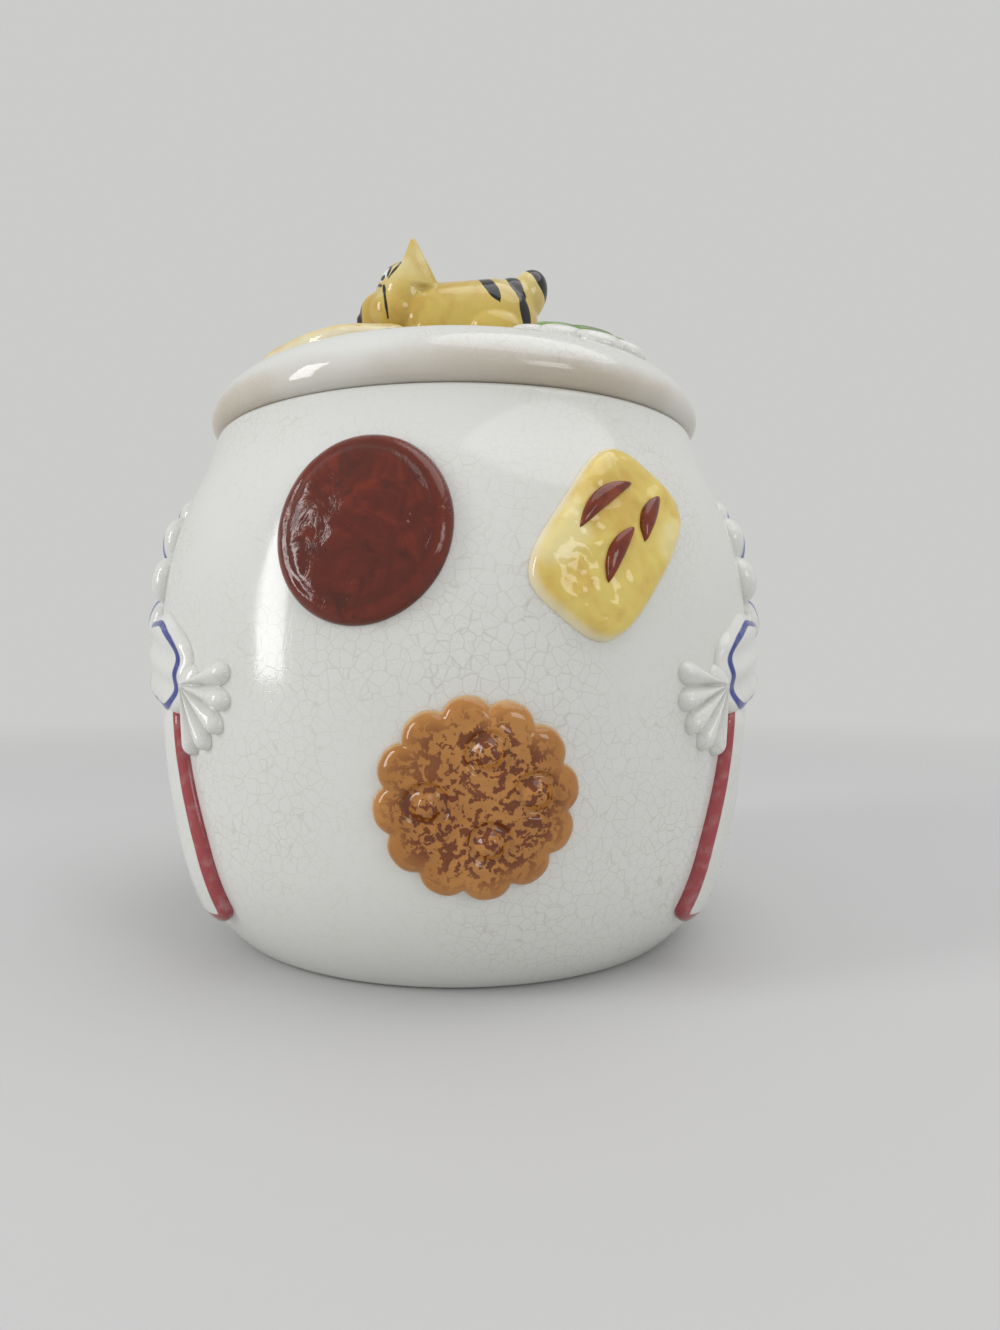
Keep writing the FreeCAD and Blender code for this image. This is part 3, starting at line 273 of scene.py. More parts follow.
def lid_profile():
    """The lid's section: dome, edge, lip, seat, flange and hollow underside."""
    mouth = polar(NECK, -(NECK_ARC + WALL), NECK_END)[0]
    outer = mouth - FLANGE_CLEARANCE
    inner = outer - FLANGE_WALL
    bottom = SEAT - FLANGE_DEPTH
    hollow = DOME_RADIUS - LID_WALL
    reach = hollow - LID_UNDER_ROUND
    corner = (inner - LID_UNDER_ROUND, DOME_HEIGHT + math.sqrt(reach ** 2 - (inner - LID_UNDER_ROUND) ** 2))
    joint = math.degrees(math.atan2(corner[1] - DOME_HEIGHT, corner[0]))
    return np.concatenate([
        arc_points((0, DOME_HEIGHT), DOME_RADIUS, 90, LID_SHOULDER_TURN, 40),
        arc_points(LID_SHOULDER, LID_SHOULDER_ARC, LID_SHOULDER_TURN, LID_EDGE_TURN, 14)[1:],
        arc_points(LID_EDGE, LID_EDGE_ARC, LID_EDGE_TURN, 0, 12)[1:],
        arc_points(LID_LIP, LID_LIP_ARC, 0, -90, 12)[1:],
        [(outer + 0.6, SEAT), (outer, SEAT - 0.6)],
        line_points((outer, SEAT - 0.6), (outer, bottom + FLANGE_ROUND), 3),
        arc_points((outer - FLANGE_ROUND, bottom + FLANGE_ROUND), FLANGE_ROUND, 0, -90, 6),
        arc_points((inner + FLANGE_ROUND, bottom + FLANGE_ROUND), FLANGE_ROUND, -90, -180, 6),
        line_points((inner, bottom + FLANGE_ROUND), (inner, corner[1]), 4),
        arc_points(corner, LID_UNDER_ROUND, 0, joint, 8),
        arc_points((0, DOME_HEIGHT), hollow, joint, 90, 30)[1:]])


# Relief: a flat outline laid on the wall or the lid and raised over it

# How far a piece is sunk into what carries it, and how many waves make its lumps.
SINK = 0.5
LUMP_WAVES = 9


def wall_place(azimuth, height):
    """Lays a flat point (u to the right, v up, in mm) on the wall at an azimuth and a height."""
    def place(u, v, rise):
        z = height + v
        radius = wall_radius(z)
        angle = np.radians(azimuth) + np.arcsin(np.clip(u / radius, -0.98, 0.98))
        slope = (wall_radius(z + 0.2) - wall_radius(z - 0.2)) / 0.4
        tilt = 1 / np.sqrt(1 + slope ** 2)
        reach = radius + rise * tilt
        return np.stack([reach * np.sin(angle), -reach * np.cos(angle), z - rise * slope * tilt], axis=-1)
    return place


def lid_place(azimuth, distance):
    """Lays a flat point on the dome, seen from above, at an azimuth and a distance from the axis."""
    def place(u, v, rise):
        turn = math.radians(azimuth)
        x = distance * math.sin(turn) + u * math.cos(turn) - v * math.sin(turn)
        y = -distance * math.cos(turn) + u * math.sin(turn) + v * math.cos(turn)
        radius = np.hypot(x, y)
        slope = (lid_height(radius + 0.2) - lid_height(radius - 0.2)) / 0.4
        tilt = 1 / np.sqrt(1 + slope ** 2)
        reach = 1 - rise * slope * tilt / np.maximum(radius, 1e-6)
        return np.stack([x * reach, y * reach, lid_height(radius) + rise * tilt], axis=-1)
    return place


def lobed(radius, lobes, notch, start=0.0):
    """Outline of round lobes: radius less a notch that is deepest where the cosine of half as many turns as
    there are lobes is zero."""
    def outline(angle):
        return radius * (1 - notch * (1 - np.abs(np.cos(lobes * (angle - start) / 2))) ** 1.4)
    return outline


def superellipse(angle, half_length, half_width, power):
    """Radius of a superellipse: one over the power's root of the summed powers of cosine over half length
    and sine over half width."""
    across = np.abs(np.cos(angle) / half_length) ** power + np.abs(np.sin(angle) / half_width) ** power
    return across ** (-1 / power)


def oblong(length, width, tilt, power):
    """Rounded rectangle: a superellipse of half the length and half the width, turned by tilt."""
    return lambda angle: superellipse(angle - math.radians(tilt), length / 2, width / 2, power)


def edge_rise(depth, edge):
    """Height that starts at the outline and rounds over within the edge: a quarter ellipse."""
    def rise(u, v, inset):
        share = np.clip(inset / edge, 0, 1)
        return depth * np.sqrt(1 - (1 - share) ** 2)
    return rise


def relief(name, outline, place, rise, body, replaced, base=0.0, rings=26, columns=180):
    """Polar grid: u, v = share * outline(angle) on the wall, raised by rise(u, v, distance to the outline); a
    second skin, sunk into what carries it, closes the piece underneath."""
    angle = np.linspace(0, 2 * np.pi, columns, endpoint=False)
    edge = outline(angle)
    share = 1 - (1 - np.linspace(0, 1, rings)) ** 1.8
    u = np.outer(share, edge * np.cos(angle))
    v = np.outer(share, edge * np.sin(angle))
    inset = np.outer(1 - share, edge)
    top = place(u, v, base + rise(u, v, inset))
    under_share = np.array([0.99, 0.5, 0.0])
    under = place(np.outer(under_share, edge * np.cos(angle)), np.outer(under_share, edge * np.sin(angle)),
                  base - SINK)
    piece = new_piece(name, capped_rings(np.concatenate([top, under])), body, replaced)
    shares = [np.repeat(share[1:], columns), np.repeat(under_share[:-1], columns), [0, 0]]
    mark_shares(piece, np.concatenate(shares))
    return piece


def strip(name, path, widths, place, depth, body, slot, replaced, base=0.0, sections=24, border=0.0):
    """Band: a flattened half-ellipse section carried along a path of (u, v) points with a half width at each,
    closed below; the border is the share of the path at its end that counts as edge."""
    along = np.gradient(path, axis=0)
    along /= np.linalg.norm(along, axis=1)[:, None]
    left = np.stack([-along[:, 1], along[:, 0]], axis=1)
    turn = np.linspace(0, 2 * np.pi, sections, endpoint=False)
    across, up = np.cos(turn), np.sin(turn)
    ends = np.sqrt(np.clip(widths / widths.max(), 0, 1))
    u = path[:, :1] + left[:, :1] * widths[:, None] * across
    v = path[:, 1:] + left[:, 1:] * widths[:, None] * across
    rise = base + ends[:, None] * depth * np.clip(up, 0, 1) ** 0.6 - np.where(up < 0, SINK, 0)
    piece = new_piece(name, capped_rings(place(u, v, rise)), body, replaced)
    step = np.linspace(0, 1, len(path))[1:-1, None]
    end_share = np.clip((step - 1 + border) / border * 2, 0, 1) if border else 0 * step
    shares = np.maximum(np.abs(across)[None, :], end_share)
    mark_shares(piece, np.concatenate([shares.ravel(), [0, 0]]))
    return piece


def soft_lumps(u, v, wavelength, seed):
    """Irregular gentle lumps between -1 and 1: plane waves of random direction, length and phase."""
    random = np.random.default_rng(seed)
    total = 0 * u
    for _ in range(LUMP_WAVES):
        direction = random.uniform(0, 2 * np.pi)
        wave = 2 * np.pi / (wavelength * random.uniform(0.7, 1.5))
        along = wave * (u * np.cos(direction) + v * np.sin(direction))
        total = total + np.sin(along + random.uniform(0, 2 * np.pi))
    return total / math.sqrt(LUMP_WAVES)


# Shader maths

class Value:
    """A number or colour socket that takes arithmetic; every operation adds its own node."""

    def __init__(self, recipe, socket):
        self.recipe, self.socket = recipe, socket

    def maths(self, operation, *others):
        return self.recipe.node("ShaderNodeMath", {"operation": operation}, [self, *others])

    def __add__(self, other):
        return self.maths("ADD", other)

    __radd__ = __add__

    def __sub__(self, other):
        return self.maths("SUBTRACT", other)

    def __rsub__(self, other):
        return self.recipe.node("ShaderNodeMath", {"operation": "SUBTRACT"}, [other, self])

    def __mul__(self, other):
        return self.maths("MULTIPLY", other)

    __rmul__ = __mul__

    def __truediv__(self, other):
        return self.maths("DIVIDE", other)

    def __pow__(self, other):
        return self.maths("POWER", other)

    def band(self, low, high, out_low=0.0, out_high=1.0):
        """Smooth step from out_low at low to out_high at high."""
        settings = {"interpolation_type": "SMOOTHSTEP", "clamp": True}
        return self.recipe.node("ShaderNodeMapRange", settings, [self, low, high, out_low, out_high])


class Recipe:
    """A node tree and the one method that adds nodes to it."""

    def __init__(self, tree):
        self.tree = tree

    def node(self, kind, settings=None, inputs=(), output=0):
        """Add a node, set it up, fill its sockets by order or name and return one output."""
        made = self.tree.nodes.new(kind)
        for key, value in (settings or {}).items():
            setattr(made, key, value)
        pairs = inputs.items() if isinstance(inputs, dict) else enumerate(inputs)
        for key, value in pairs:
            if isinstance(value, Value):
                self.tree.links.new(value.socket, made.inputs[key])
            else:
                made.inputs[key].default_value = value
        return Value(self, made.outputs[output]) if made.outputs else None


class Glaze(Recipe):
    """One material: a Principled shader and what feeds it."""

    def __init__(self, name, roughness=0.08):
        self.material = bpy.data.materials.new(name)
        self.material.use_nodes = True
        super().__init__(self.material.node_tree)
        self.shader = self.tree.nodes["Principled BSDF"]
        self.shader.inputs["Roughness"].default_value = roughness
        self.shader.inputs["IOR"].default_value = 1.50
        self.place = self.node("ShaderNodeTexCoord", output="Object")

    def mix(self, share, first, second):
        """Colour between two colours."""
        first, second = (value if isinstance(value, Value) else (*value[:3], 1) for value in (first, second))
        return self.node("ShaderNodeMix", {"data_type": "RGBA"}, {0: share, 6: first, 7: second}, 2)

    def noise(self, scale, detail=3.0, roughness=0.5, distortion=0.0, place=None, output="Fac"):
        """Cloudy noise at a place, as a number or a colour."""
        return self.node("ShaderNodeTexNoise", None, {
            "Vector": place or self.place, "Scale": scale, "Detail": detail,
            "Roughness": roughness, "Distortion": distortion}, output)

    def cells(self, scale, feature="F1", place=None):
        """Distance within a pattern of cells."""
        return self.node("ShaderNodeTexVoronoi", {"feature": feature},
                         {"Vector": place or self.place, "Scale": scale}, "Distance")

    def warped(self, amount, scale):
        """Object coordinates pushed about by noise."""
        push = self.noise(scale, 2.0, output="Color")
        centred = self.node("ShaderNodeVectorMath", {"operation": "SUBTRACT"}, [push, (0.5, 0.5, 0.5)])
        shift = self.node("ShaderNodeVectorMath", {"operation": "SCALE"}, {0: centred, "Scale": amount})
        return self.node("ShaderNodeVectorMath", {"operation": "ADD"}, [self.place, shift])

    def axes(self):
        """Object coordinates as three numbers."""
        outputs = self.node("ShaderNodeSeparateXYZ", None, [self.place]).socket.node.outputs
        return [Value(self, outputs[index]) for index in range(3)]

    def edge_share(self):
        """How near a point lies to its piece's outline."""
        return self.node("ShaderNodeAttribute", {"attribute_name": "edge_share"}, output="Fac")

    def feed(self, socket, value):
        """Link a value to one of the shader's sockets."""
        self.tree.links.new(value.socket, self.shader.inputs[socket])

    def colour(self, value):
        self.feed("Base Color", value)

    def bump(self, height, strength, distance=0.0006):
        """Raise the surface by a height map."""
        self.feed("Normal", self.node("ShaderNodeBump", None, {
            "Strength": strength, "Distance": distance, "Height": height}))


def scaled(colour, *factors):
    """Colour with its channels multiplied, by one factor or by one for each."""
    return tuple(channel * factor for channel, factor in zip(colour, factors * (4 - len(factors))))


# Glazes: each function fills in the glaze that it is handed

def add_crackle(glaze, colour, size, darkness):
    """Darken a glaze along two nets of fine cracks and return the colour and the cracks' mask."""
    place = glaze.warped(size * 0.7, 0.5 / size)
    net = glaze.cells(1 / size, "DISTANCE_TO_EDGE", place)
    fine = glaze.cells(2.3 / size, "DISTANCE_TO_EDGE", place)
    cracks = 1 - net.band(0.0, 0.055)
    hairs = (1 - fine.band(0.0, 0.07)) * 0.40
    patches = glaze.noise(17.0, 3.0).band(0.36, 0.66, 0.12, 1.0)
    mask = cracks.maths("MAXIMUM", hairs) * patches
    return glaze.mix(mask * darkness, colour, (0.42, 0.37, 0.30)), mask


def white_glaze(glaze, settings, shade=1.0, darkness=0.38, painted_shade=None, speck_scale=70.0, speck_share=0.60,
                speck_colour=(0.20, 0.15, 0.10)):
    """White crackled glaze: faint warm and cool clouds, painted shade if handed in, cracks and iron specks.
    """
    white = scaled(settings.white, shade)
    clouds = glaze.noise(14.0, 3.0).band(0.3, 0.7)
    base = glaze.mix(clouds, scaled(white, 0.965), scaled(white, 1, 1, 1.01))
    if painted_shade:
        base = painted_shade(glaze, base)
    colour, cracks = add_crackle(glaze, base, settings.crackle_size, darkness)
    where = glaze.noise(31.0).band(speck_share, speck_share + 0.06)
    specks = (1 - glaze.cells(speck_scale).band(0.02, 0.035)) * where
    glaze.colour(glaze.mix(specks * 0.6, colour, speck_colour))
    glaze.feed("Roughness", glaze.noise(40.0, 2.0).band(0.3, 0.7, 0.05, 0.12))
    glaze.bump(glaze.noise(24.0, 1.0) - cracks * 0.05, 0.35)


def lid_edge_painted_shade(glaze, base):
    """Painted shade: warm beige darkening along the lid's lower edge, on the rounded underside of its lip."""
    height = glaze.axes()[2] + (glaze.noise(38.0, 4.0, 0.6) - 0.5) * 0.010
    # painted shade, strongest at the lid's lower edge and fading upwards
    painted_shade = height.band(0.1740, 0.1660) * glaze.noise(18.0, 2.0).band(0.30, 0.62, 0.35, 1.0)
    return glaze.mix(painted_shade * 0.75, base, (0.46, 0.38, 0.27))


def chocolate_glaze(glaze, settings):
    """Dark red-brown glaze with cloudy streaks, a lighter band inside the rim and a few pale flecks."""
    glaze.shader.inputs["Roughness"].default_value = 0.07
    dark = settings.chocolate
    lighter = scaled(dark, 1.8, 1.8, 1.6)
    clouds = glaze.noise(95.0, 5.0, 0.6, 1.6, glaze.warped(0.004, 120.0))
    base = glaze.mix(clouds.band(0.42, 0.78), dark, lighter)
    rim = glaze.edge_share().band(0.80, 0.90) * glaze.edge_share().band(1.0, 0.95)
    base = glaze.mix(rim * 0.5, base, lighter)
    base = glaze.mix(glaze.noise(160.0, 3.0, 0.6, 0.8).band(0.52, 0.72) * 0.6, base, scaled(dark, 0.55))
    flecks = glaze.noise(420.0, 3.0).band(0.66, 0.74) * glaze.noise(55.0, 1.0).band(0.55, 0.62)
    glaze.colour(glaze.mix(flecks * 0.5, base, (0.45, 0.22, 0.12)))
    glaze.bump(clouds, 0.35, 0.0010)


def butter_glaze(glaze, settings, patches=(0.62, 0.40, 0.08)):
    """Yellow glaze that thins to cream in random patches and pools to ochre in pits."""
    pits = glaze.cells(230.0, "SMOOTH_F1", glaze.warped(0.003, 150.0))
    clouds = glaze.noise(60.0, 4.0, 0.55, 0.6)
    base = glaze.mix(clouds.band(0.42, 0.68) * 0.75, settings.butter, patches)
    base = glaze.mix(pits.band(0.45, 0.15) * clouds.band(0.4, 0.6) * 0.55, base, patches)
    cream = glaze.noise(38.0, 2.0).band(0.50, 0.62)
    base = glaze.mix(cream * 0.45, base, (0.86, 0.80, 0.50))
    # pale rim at the outline: partly white glaze gathered at the edge, partly a painted highlight along the
    # rounded edge
    rim = glaze.edge_share().band(0.90, 1.0)
    glaze.colour(glaze.mix(rim * 0.7, base, (0.80, 0.76, 0.60)))
    glaze.bump(pits, 0.5, 0.0008)


def tan_glaze(glaze, settings):
    """Tan glaze spattered with red-brown specks, thicker towards the middle, pale at the rim from gathered
    glaze and a painted highlight.
    """
    clouds = glaze.noise(50.0, 3.0)
    base = glaze.mix(clouds.band(0.35, 0.7), settings.tan, scaled(settings.tan, 1.25, 1.35, 1.6))
    middle = glaze.edge_share().band(1.0, 0.62)
    specks = glaze.noise(340.0, 3.0, 0.55, 0.4).band(0.53, 0.57)
    small = glaze.noise(560.0, 2.0, 0.5).band(0.55, 0.60)
    drift = glaze.noise(45.0, 2.0).band(0.10, 0.42, 0.45, 1.0)
    mask = (specks.maths("MAXIMUM", small) * drift * middle).maths("MINIMUM", 1.0)
    base = glaze.mix(mask * 0.9, base, (0.13, 0.022, 0.004))
    # pale rim at the outline: partly white glaze gathered at the edge, partly a painted highlight along the
    # rounded edge
    rim = glaze.edge_share().band(0.95, 1.0)
    glaze.colour(glaze.mix(rim * 0.6, base, (0.70, 0.52, 0.28)))
    glaze.bump(clouds + glaze.noise(210.0, 2.0) * 0.35, 0.5, 0.0010)


def plain_glaze(glaze, colour, second, scale=60.0):
    """One colour of glaze that drifts towards a second one, over a faintly uneven surface."""
    clouds = glaze.noise(scale, 3.0, 0.55, 0.5)
    glaze.colour(glaze.mix(clouds.band(0.35, 0.7), colour, second))
    glaze.bump(clouds, 0.3)


def edged_glaze(glaze, settings, edge_colour, low, high, fade=0.06):
    """White glaze with a brushed band of colour between two shares of the way to the outline."""
    white = scaled(settings.white, 1.02)
    share = glaze.edge_share() + (glaze.noise(60.0, 2.0) - 0.5) * 0.10
    band = share.band(low - fade, low) * share.band(high + fade, high)
    clouds = glaze.noise(90.0, 2.0)
    base = glaze.mix(clouds.band(0.3, 0.7), white, scaled(white, 0.95))
    colour, cracks = add_crackle(glaze, base, settings.crackle_size, 0.2)
    stroke = glaze.noise(260.0, 2.0).band(0.2, 0.55, 0.85, 1.0)
    glaze.colour(glaze.mix(band * stroke, colour, edge_colour))
    glaze.bump(clouds - cracks * 0.05, 0.3)


BLACK = (0.008, 0.008, 0.009)
NOSE_COLOUR, NOSE_FROM, NOSE_FULL = (0.05, 0.035, 0.03), -0.0318, -0.0324

# Places in metres, as (x, z), and half sizes of the kitten's eye and pupil, and how far the eye slants.
KITTEN_EYE, EYE_HALF_SIZES, EYE_SLANT = (-0.0236, 0.2214), (0.0015, 0.0028), 0.45
KITTEN_PUPIL, PUPIL_HALF_SIZES = (-0.0244, 0.2202), (0.0009, 0.0013)
TAIL_TIP_POINT, TAIL_TIP_WAY = (0.0260, 0.2232), (0.83, 0.56)

# Brush strokes in metres: start and end as (x, z), half width, and how blunt the ends are.
KITTEN_STROKES = [
    ((0.0086, 0.2228), (0.0154, 0.2092), 0.0021, 0.06),
    ((0.0188, 0.2222), (0.0230, 0.2130), 0.0022, 0.60),
    ((0.0230, 0.2130), (0.0252, 0.2010), 0.0018, 0.45),
    ((-0.0240, 0.2168), (-0.0224, 0.2052), 0.0005, 0.70),
    ((-0.0170, 0.2290), (-0.0184, 0.2244), 0.0006, 0.50),
    ((-0.0184, 0.2244), (-0.0222, 0.2190), 0.0005, 0.50),
    ((-0.0252, 0.2226), (-0.0238, 0.2246), 0.0005, 0.80),
    ((-0.0238, 0.2246), (-0.0216, 0.2240), 0.0006, 0.80),
    ((-0.0216, 0.2240), (-0.0226, 0.2200), 0.0005, 0.60),
    ((-0.0214, 0.2242), (-0.0198, 0.2252), 0.0003, 0.60),
    ((-0.0262, 0.2186), (-0.0250, 0.2172), 0.0005, 0.80),
]


def kitten_glaze(glaze, settings):
    """Yellow glaze drifting to ochre in clouds, with a painted highlight paler towards the top, and brushed
    black stripes, lids and lines.
    """
    x, y, z = glaze.axes()
    clouds = glaze.noise(95.0, 4.0, 0.6, 0.6)
    base = glaze.mix(clouds.band(0.40, 0.66) * 0.8, settings.yellow, (0.52, 0.33, 0.06))
    # painted highlight: paler yellow towards the top of the kitten
    pale = z.band(0.204, 0.230) * glaze.noise(60.0, 2.0).band(0.35, 0.6)
    base = glaze.mix(pale * 0.8, base, (0.80, 0.73, 0.40))
    on_side = y.maths("ABSOLUTE").band(0.0030, 0.0040)
    eye = spot(x, z, KITTEN_EYE, EYE_HALF_SIZES, EYE_SLANT)
    base = glaze.mix(eye * on_side, base, (0.80, 0.82, 0.78))
    base = glaze.mix(spot(x, z, KITTEN_PUPIL, PUPIL_HALF_SIZES) * on_side, base, BLACK)
    wobble = (glaze.noise(170.0, 1.0) - 0.5) * 0.0012
    for stroke in KITTEN_STROKES:
        base = glaze.mix(brush_stroke(x, z, wobble, *stroke) * on_side, base, BLACK)
    base = glaze.mix(x.band(NOSE_FROM, NOSE_FULL), base, NOSE_COLOUR)
    tip_x, tip_z = x - TAIL_TIP_POINT[0], z - TAIL_TIP_POINT[1]
    tip = tip_x * TAIL_TIP_WAY[0] + tip_z * TAIL_TIP_WAY[1] + wobble
    glaze.colour(glaze.mix(tip.band(-0.0002, 0.0002), base, BLACK))
    glaze.bump(clouds, 0.25)


def spot(x, z, centre, half_sizes, slant=0.0):
    """Mask of an ellipse seen from the side, its top leaning over by the slant."""
    off_z = z - centre[1]
    off_x = x - centre[0] - off_z * slant if slant else x - centre[0]
    return ((off_x / half_sizes[0]) ** 2 + (off_z / half_sizes[1]) ** 2).maths("SQRT").band(1.0, 0.9)


def brush_stroke(x, z, wobble, start, end, half_width, blunt):
    """Mask of a spindle-shaped stroke seen from the side: near the line from start to end, wide half way."""
    along = (end[0] - start[0], end[1] - start[1])
    length = along[0] ** 2 + along[1] ** 2
    step = ((x - start[0]) * along[0] + (z - start[1]) * along[1]) / length
    step = step.maths("MAXIMUM", 0.0).maths("MINIMUM", 1.0)
    off_x = x - start[0] - step * along[0]
    off_z = z - start[1] - step * along[1]
    distance = (off_x * off_x + off_z * off_z) ** 0.5 + wobble
    spindle = (step * (1 - step) * 4).maths("MAXIMUM", blunt) ** 0.5
    return (spindle * half_width - distance).band(-0.0002, 0.0002)


GLAZES = {}


def dress(piece, name, fill, *details):
    """Give a piece its one glaze, filled in by fill(glaze, *details) at its first use."""
    if name not in GLAZES:
        glaze = Glaze(name)
        fill(glaze, *details)
        GLAZES[name] = glaze.material
    piece.data.materials.clear()
    piece.data.materials.append(GLAZES[name])


def settings_of(context):
    return context.scene.biscuit_jar


# Operators

class BISCUITJAR_OT_jar(bpy.types.Operator):
    """Add the jar's wall, foot, rim and inside as one turned surface"""
    bl_idname = "biscuitjar.jar"
    bl_label = "Jar"

    def execute(self, context):
        jar = turned_surface(jar_profile(), "jar_wall", "jar", ["jar_body"])
        dress(jar, "white_glaze", white_glaze, settings_of(context))
        return {"FINISHED"}


class BISCUITJAR_OT_lid(bpy.types.Operator):
    """Add the domed lid with its lip and flange as one turned surface"""
    bl_idname = "biscuitjar.lid"
    bl_label = "Lid"

    def execute(self, context):
        lid = turned_surface(lid_profile(), "lid_dome", "lid", ["lid", "lid_flange"])
        # the lid's white carries painted shade along its lower edge
        dress(lid, "lid_white", white_glaze, settings_of(context), 1.0, 0.34, lid_edge_painted_shade, 90.0, 0.56,
              (0.16, 0.11, 0.07))
        return {"FINISHED"}


# Places on the wall as azimuth and height, and points within a biscuit, in degrees and millimetres.
ROUND_PLACE, ROUND_RADIUS = (-14.2, 122.2), 23.9
OBLONG_PLACE = (25.2, 119.4)
SCALLOPED_PLACE, SCALLOPED_RADIUS = (3.3, 55.4), 25.6
BOSSES = [(2.3, 11.8), (-12.0, -0.7), (13.9, 1.9), (3.0, -10.2)]
WALL_SLIVERS = [((-11.5, 1.6), (6.2, 14.3)), ((6.8, -0.9), (14.4, 11.6)), ((-5.2, -11.5), (4.1, 2.8))]
LID_SLIVERS = [((-10.0, -6.0), (3.0, 5.0)), ((-1.0, -9.0), (12.0, 0.0))]
SLIVER_HALF_WIDTH, SLIVER_BEND, SLIVER_DEPTH, SLIVER_SINK = 2.2, 0.10, 1.7, 0.3
SIDES = (("front", 0.0), ("back", BACK_TURN))


def sliver_path(start, end, count=18):
    """Almond sliver: a slightly bent path whose half width is a half sine of the way along."""
    share = np.linspace(0, 1, count)[:, None]
    start, end = np.asarray(start, float), np.asarray(end, float)
    along = end - start
    side = np.array([-along[1], along[0]]) * SLIVER_BEND
    path = start * (1 - share) + end * share + side * np.sin(np.pi * share)
    return path, np.maximum(np.sin(np.pi * share[:, 0]) ** 0.8 * SLIVER_HALF_WIDTH, 0.02)


def add_slivers(name, node, ends, place, body, depth):
    """Lay almond slivers on a biscuit; the first one replaces the node that holds them all."""
    for index, (start, end) in enumerate(ends):
        path, widths = sliver_path(start, end)
        sliver = strip("%s_%d" % (name, index + 1), path, widths, place, SLIVER_DEPTH, body, "sliver_glaze",
                       [] if index else [node], base=depth - SLIVER_SINK)
        dress(sliver, "sliver_glaze", plain_glaze, (0.14, 0.017, 0.004), (0.24, 0.04, 0.01), 160.0)


def lumpy_rise(depth, edge, fullness, within, *lumps):
    """A rounded edge, and inside it a swelling with lumps of given heights, wavelengths and seeds."""
    edge_height = edge_rise(depth, edge)

    def rise(u, v, inset):
        swelling = fullness + sum(height * soft_lumps(u, v, length, seed) for height, length, seed in lumps)
        return edge_height(u, v, inset) + swelling * np.clip(inset / within, 0, 1)
    return rise


class BISCUITJAR_OT_wall_biscuits(bpy.types.Operator):
    """Add the round, oblong and scalloped biscuits on the wall, front and back"""
    bl_idname = "biscuitjar.wall_biscuits"
    bl_label = "Wall biscuits"

    def execute(self, context):
        settings = settings_of(context)
        depth = settings.relief_depth / MM
        for side, turn in SIDES:
            self.add_round(settings, side, turn, depth)
            self.add_oblong(settings, side, turn, depth)
            self.add_scalloped(settings, side, turn, depth)
        return {"FINISHED"}

    def add_round(self, settings, side, turn, depth):
        def outline(angle):
            return ROUND_RADIUS - 0.8 * np.cos(2 * angle) + 0.2 * np.sin(3 * angle + 2.0)

        lumpy = lumpy_rise(depth - 0.5, 5.0, 0.25, 6, (0.10, 12.0, 3), (0.05, 5.0, 4))

        def rise(u, v, inset):
            return lumpy(u, v, inset) - 0.40 * np.exp(-((inset - 4.4) / 1.0) ** 2)

        piece = relief("chocolate_biscuit_glaze_" + side, outline,
                       wall_place(ROUND_PLACE[0] + turn, ROUND_PLACE[1]), rise, "jar",
                       ["chocolate_biscuit_" + side], rings=34)
        dress(piece, "chocolate_glaze", chocolate_glaze, settings)

    def add_oblong(self, settings, side, turn, depth):
        place = wall_place(OBLONG_PLACE[0] + turn, OBLONG_PLACE[1])
        rise = lumpy_rise(depth - 0.6, 4.5, 0.3, 5, (0.22, 12.0, 5), (0.10, 5.0, 6))
        piece = relief("butter_biscuit_glaze_" + side, oblong(51.0, 33.2, 51.0, 3.8), place, rise, "jar",
                       ["butter_biscuit_" + side], rings=32)
        dress(piece, "butter_glaze", butter_glaze, settings)
        add_slivers("almond_sliver_" + side, "almond_slivers_" + side, WALL_SLIVERS, place, "jar", depth)

    def add_scalloped(self, settings, side, turn, depth):
        lumpy = lumpy_rise(depth - 0.7, 4.2, 0.4, 5, (0.16, 11.0, 7))

        def rise(u, v, inset):
            height = lumpy(u, v, inset)
            for centre_u, centre_v in BOSSES:
                away = np.hypot(u - centre_u, v - centre_v)
                height = height + 1.9 * np.exp(-(away / 2.7) ** 4) - 0.75 * np.exp(-((away - 4.6) / 1.0) ** 2)
                height = height + 0.35 * np.exp(-((away - 6.3) / 0.9) ** 2)
            return height

        piece = relief("scalloped_biscuit_glaze_" + side, lobed(SCALLOPED_RADIUS, 12, 0.10, 0.13),
                       wall_place(SCALLOPED_PLACE[0] + turn, SCALLOPED_PLACE[1]), rise, "jar",
                       ["scalloped_biscuit_" + side], rings=60, columns=264)
        dress(piece, "tan_glaze", tan_glaze, settings)


# The ribbons' sizes and places, in millimetres, degrees and radians.
ROSETTE_HEIGHT, ROSETTE_RADIUS, ROSETTE_LOBES, BUTTON_RADIUS = 115.0, 30.0, 10, 8.5
BOW_PLACE, BOW_HALF_LENGTH, BOW_HALF_WIDTH, BOW_TILT = (59.5, 88.0), 23.0, 15.5, math.radians(14.0)
FAN_PLACE, FAN_RADIUS, FAN_HUB, FAN_PLEATS = (48.5, 82.5), 20.0, 6.0, 5
FAN_HALF_SPREAD, FAN_TILT = math.radians(62.0), math.radians(38.0)
TAIL_PLACE = (50.0, 45.0)
BUTTON_BLUE, BUTTON_PALE_BLUE = (0.02, 0.05, 0.28), (0.05, 0.11, 0.42)
ROSETTE_BLUE, BOW_BLUE, TAIL_RED = (0.03, 0.07, 0.33), (0.015, 0.035, 0.24), (0.34, 0.055, 0.062)


